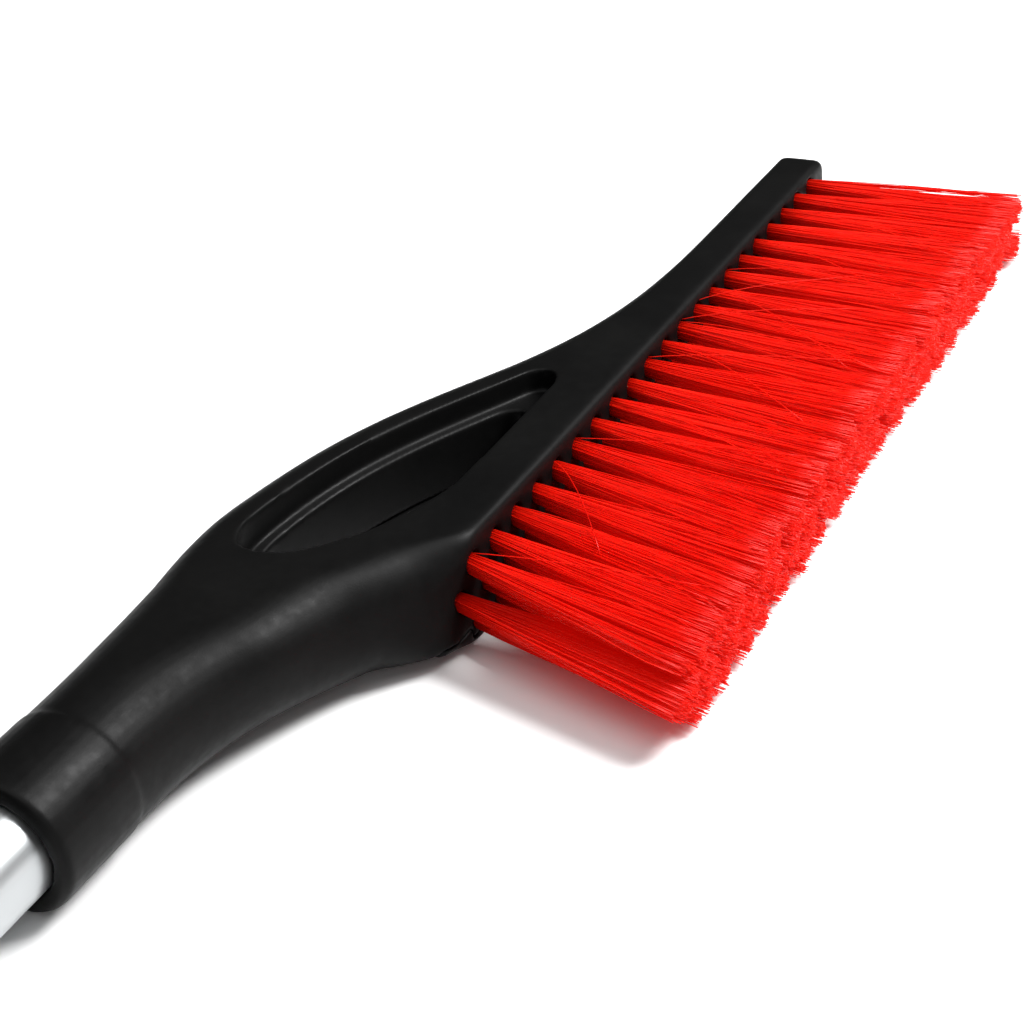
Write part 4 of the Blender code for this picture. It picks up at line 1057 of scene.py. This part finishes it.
def scraper_ring(x):
    """Section of the scraper's holder: round on the tube, wide and flat at the blade."""
    share = smooth_step((FLARE_START - x) / (FLARE_WIDTH_SHARE * FLARE_LENGTH))
    half_width = mix(SOCKET_RADIUS, FLARE_WIDTH / 2, share)
    flatter = smooth_step((FLARE_START - x) / (FLARE_HEIGHT_SHARE * FLARE_LENGTH))
    half_height = mix(SOCKET_RADIUS, FLARE_THICKNESS / 2, flatter)
    inset = 0.0
    reach = FLARE_END + END_ROUNDING - x
    if reach > 0:
        inset = 0.5 * (END_ROUNDING - math.sqrt(max(END_ROUNDING ** 2 - reach ** 2, 0.0)))
    reach = x - (SCRAPER_START - MOUTH_ROUNDING)
    if reach > 0:
        inset = MOUTH_ROUNDING - math.sqrt(max(MOUTH_ROUNDING ** 2 - reach ** 2, 0.0))
    radius = min(half_width, half_height) - inset
    return rounded_ring(x, -half_width + inset, half_width - inset, -half_height + inset,
                        half_height - inset, (radius,) * 4)


def make_scraper():
    """The holder with its bore, slot and screw holes, then the blade in it."""
    rounding = [FLARE_END + END_ROUNDING * (1 - math.sin(math.radians(angle))) for angle in range(0, 91, 15)]
    mouth = [SCRAPER_START - distance for distance in quarter(MOUTH_ROUNDING)]
    flare = [mix(mouth[-1], rounding[0], index / HOLDER_SECTIONS) for index in range(1, HOLDER_SECTIONS)]
    holder = new_object("scraper_body", lofted_mesh("scraper_body", [
        scraper_ring(x) for x in mouth + flare + rounding]))
    half_slot = BLADE_THICKNESS / 2 + GAP
    slot_side = BLADE_ROOT_WIDTH / 2 + GAP
    cut(holder, [
        cylinder_mesh("bore", TUBE_HIGH.z - ORIGIN.z + GAP, (TUBE_LOW.x - ORIGIN.x - GAP, 0, 0),
                      (SCRAPER_START + CUT, 0, 0), 96),
        box_mesh("slot", (FLARE_END - CUT, -slot_side, -half_slot),
                 (FLARE_END + BLADE_INSERT + GAP, slot_side, half_slot)),
    ])
    for name, bottom in (("tube_screw_scraper", -SOCKET_RADIUS), ("blade_screw_left", -FLARE_THICKNESS / 2),
                         ("blade_screw_right", -FLARE_THICKNESS / 2)):
        place = screw_centre(name)
        cut(holder, screw_cutters(place.x, place.y, bottom - CUT, 0, bottom + SCREW_HEAD_HEIGHT + GAP))
    soften(holder, HOLDER_VOXEL, HOLDER_ROUNDS)
    finish_piece(holder, MOULDED, ["scraper_holder"])
    make_blade()


def make_blade():
    """The blade: splayed plan, ice teeth on top, then the bevel of its working edge."""
    half = BLADE_THICKNESS / 2
    edge = BLADE_LOW.x - ORIGIN.x
    root = FLARE_END + BLADE_INSERT
    half_root, half_edge = BLADE_ROOT_WIDTH / 2, BLADE_WIDTH / 2
    upper = [(root, half_root), (FLARE_END - BLADE_STRAIGHT, half_root)]
    upper += bezier((edge + BLADE_CORNER, half_edge), (edge, half_edge), (edge, half_edge),
                    (edge, half_edge - BLADE_CORNER), 12)
    upper += [(edge, half_edge - BLADE_CORNER)]
    outline = upper + [(x, -y) for x, y in reversed(upper)]
    blade = new_object("blade", prism("blade", outline, -half, half))
    drop = BLADE_THICKNESS - BLADE_EDGE
    slope = drop / BLADE_BEVEL
    teeth = []
    for index in range(TOOTH_COUNT):
        y = mix(-0.5, 0.5, (index + 0.5) / TOOTH_COUNT) * (BLADE_ROOT_WIDTH - 2 * TOOTH_MARGIN)
        x = edge + BLADE_BEVEL + TOOTH_SETBACK
        tooth = [(x, y - TOOTH_HALF_WIDTH), (x + TOOTH_LENGTH, y), (x, y + TOOTH_HALF_WIDTH)]
        teeth.append(prism("tooth", tooth, half - MM, half + TOOTH_HEIGHT))
    cut(blade, teeth, "UNION")
    side = BLADE_WIDTH             # well past the blade's sides
    cut(blade, [lofted_mesh("bevel", [
        [(edge + BLADE_BEVEL, y, half), (edge + BLADE_BEVEL, y, half + CUT), (edge - CUT, y, half + CUT),
         (edge - CUT, y, half - drop - slope * CUT)] for y in (-side, side)])])
    soften(blade, BLADE_VOXEL, BLADE_ROUNDS)
    finish_piece(blade, BLADE_RED, ["scraper_blade"])


# ---------------------------------------- stage, light and camera
FLOOR_SIZE = 4.0
WORLD_STRENGTH = 0.05
LIGHT_TARGET = ORIGIN + Vector((0.15, -0.02, 0.0))
LIGHTS = (                         # name, place from the target, size, power
    ("key", (0.50, -0.66, 0.90), (0.42, 0.42), 25.0),
    ("top", (-0.2, -0.1, 1.5), (1.8, 1.8), 13.0),
    ("fill", (-1.2, -0.9, 0.7), (1.0, 1.0), 3.0),
)


def make_stage():
    """A white floor and a faint white world."""
    bm = bmesh.new()
    bmesh.ops.create_grid(bm, x_segments=1, y_segments=1, size=FLOOR_SIZE)
    floor = new_object("floor", bm_mesh("floor", bm))
    n = Nodes("floor_white")
    n.socket("Base Color", n.blend(n.noise(n.place(), 3.0, 3.0), (0.90, 0.90, 0.90), (0.92, 0.92, 0.92)))
    n.socket("Roughness", 0.9)
    n.socket("Specular IOR Level", 0.1)
    floor.data.materials.append(n.material)

    world = bpy.data.worlds.new("studio")
    bpy.context.scene.world = world
    world.use_nodes = True
    background = world.node_tree.nodes["Background"]
    background.inputs["Color"].default_value = (1.0, 1.0, 1.0, 1.0)
    background.inputs["Strength"].default_value = WORLD_STRENGTH


def area_light(name, place, target, size, power):
    """A rectangular light that faces its target."""
    light = bpy.data.lights.new(name, "AREA")
    light.shape = "RECTANGLE"
    light.size, light.size_y = size
    light.energy = power
    obj = new_object(name, light)
    obj.location = place
    obj.rotation_euler = (Vector(target) - Vector(place)).to_track_quat("-Z", "Y").to_euler()


# the camera, solved from the photo's outlines; its place is from the tube's axis at the sleeve's mouth
CAMERA_OFFSET = Vector((-0.2260, -0.2435, 0.2496))
CAMERA_RIGHT = Vector((0.4464, -0.8901, -0.0918))
CAMERA_UP = Vector((0.4962, 0.1611, 0.8530))
CAMERA_LENS = 77.34                # in millimetres, as is the sensor
CAMERA_SENSOR = 36.0


def make_camera():
    """The photo's camera."""
    data = bpy.data.cameras.new("camera")
    data.sensor_width = CAMERA_SENSOR
    data.lens = CAMERA_LENS
    data.clip_start = 0.01
    data.clip_end = 20.0
    camera = new_object("camera", data)
    right = CAMERA_RIGHT.normalized()
    up = (CAMERA_UP - CAMERA_UP.dot(right) * right).normalized()
    back = right.cross(up)
    matrix = Matrix((right, up, back)).transposed().to_4x4()
    matrix.translation = ORIGIN + CAMERA_OFFSET
    camera.matrix_world = matrix
    bpy.context.scene.camera = camera


make_camera()
make_stage()
for name, offset, size, power in LIGHTS:
    area_light(name, LIGHT_TARGET + Vector(offset), LIGHT_TARGET, size, power)
bpy.context.scene.view_settings.view_transform = "Standard"

make_head()
make_bristles()
make_tube()
make_grip()
make_scraper()

# the screws are shown as the frame's own nodes, in plated steel
for name, node in NODES.items():
    if "screw" in name:
        node.data.materials.clear()
        node.data.materials.append(ZINC)
        node.data.shade_smooth()
        node.data.set_sharp_from_angle(angle=math.radians(40))
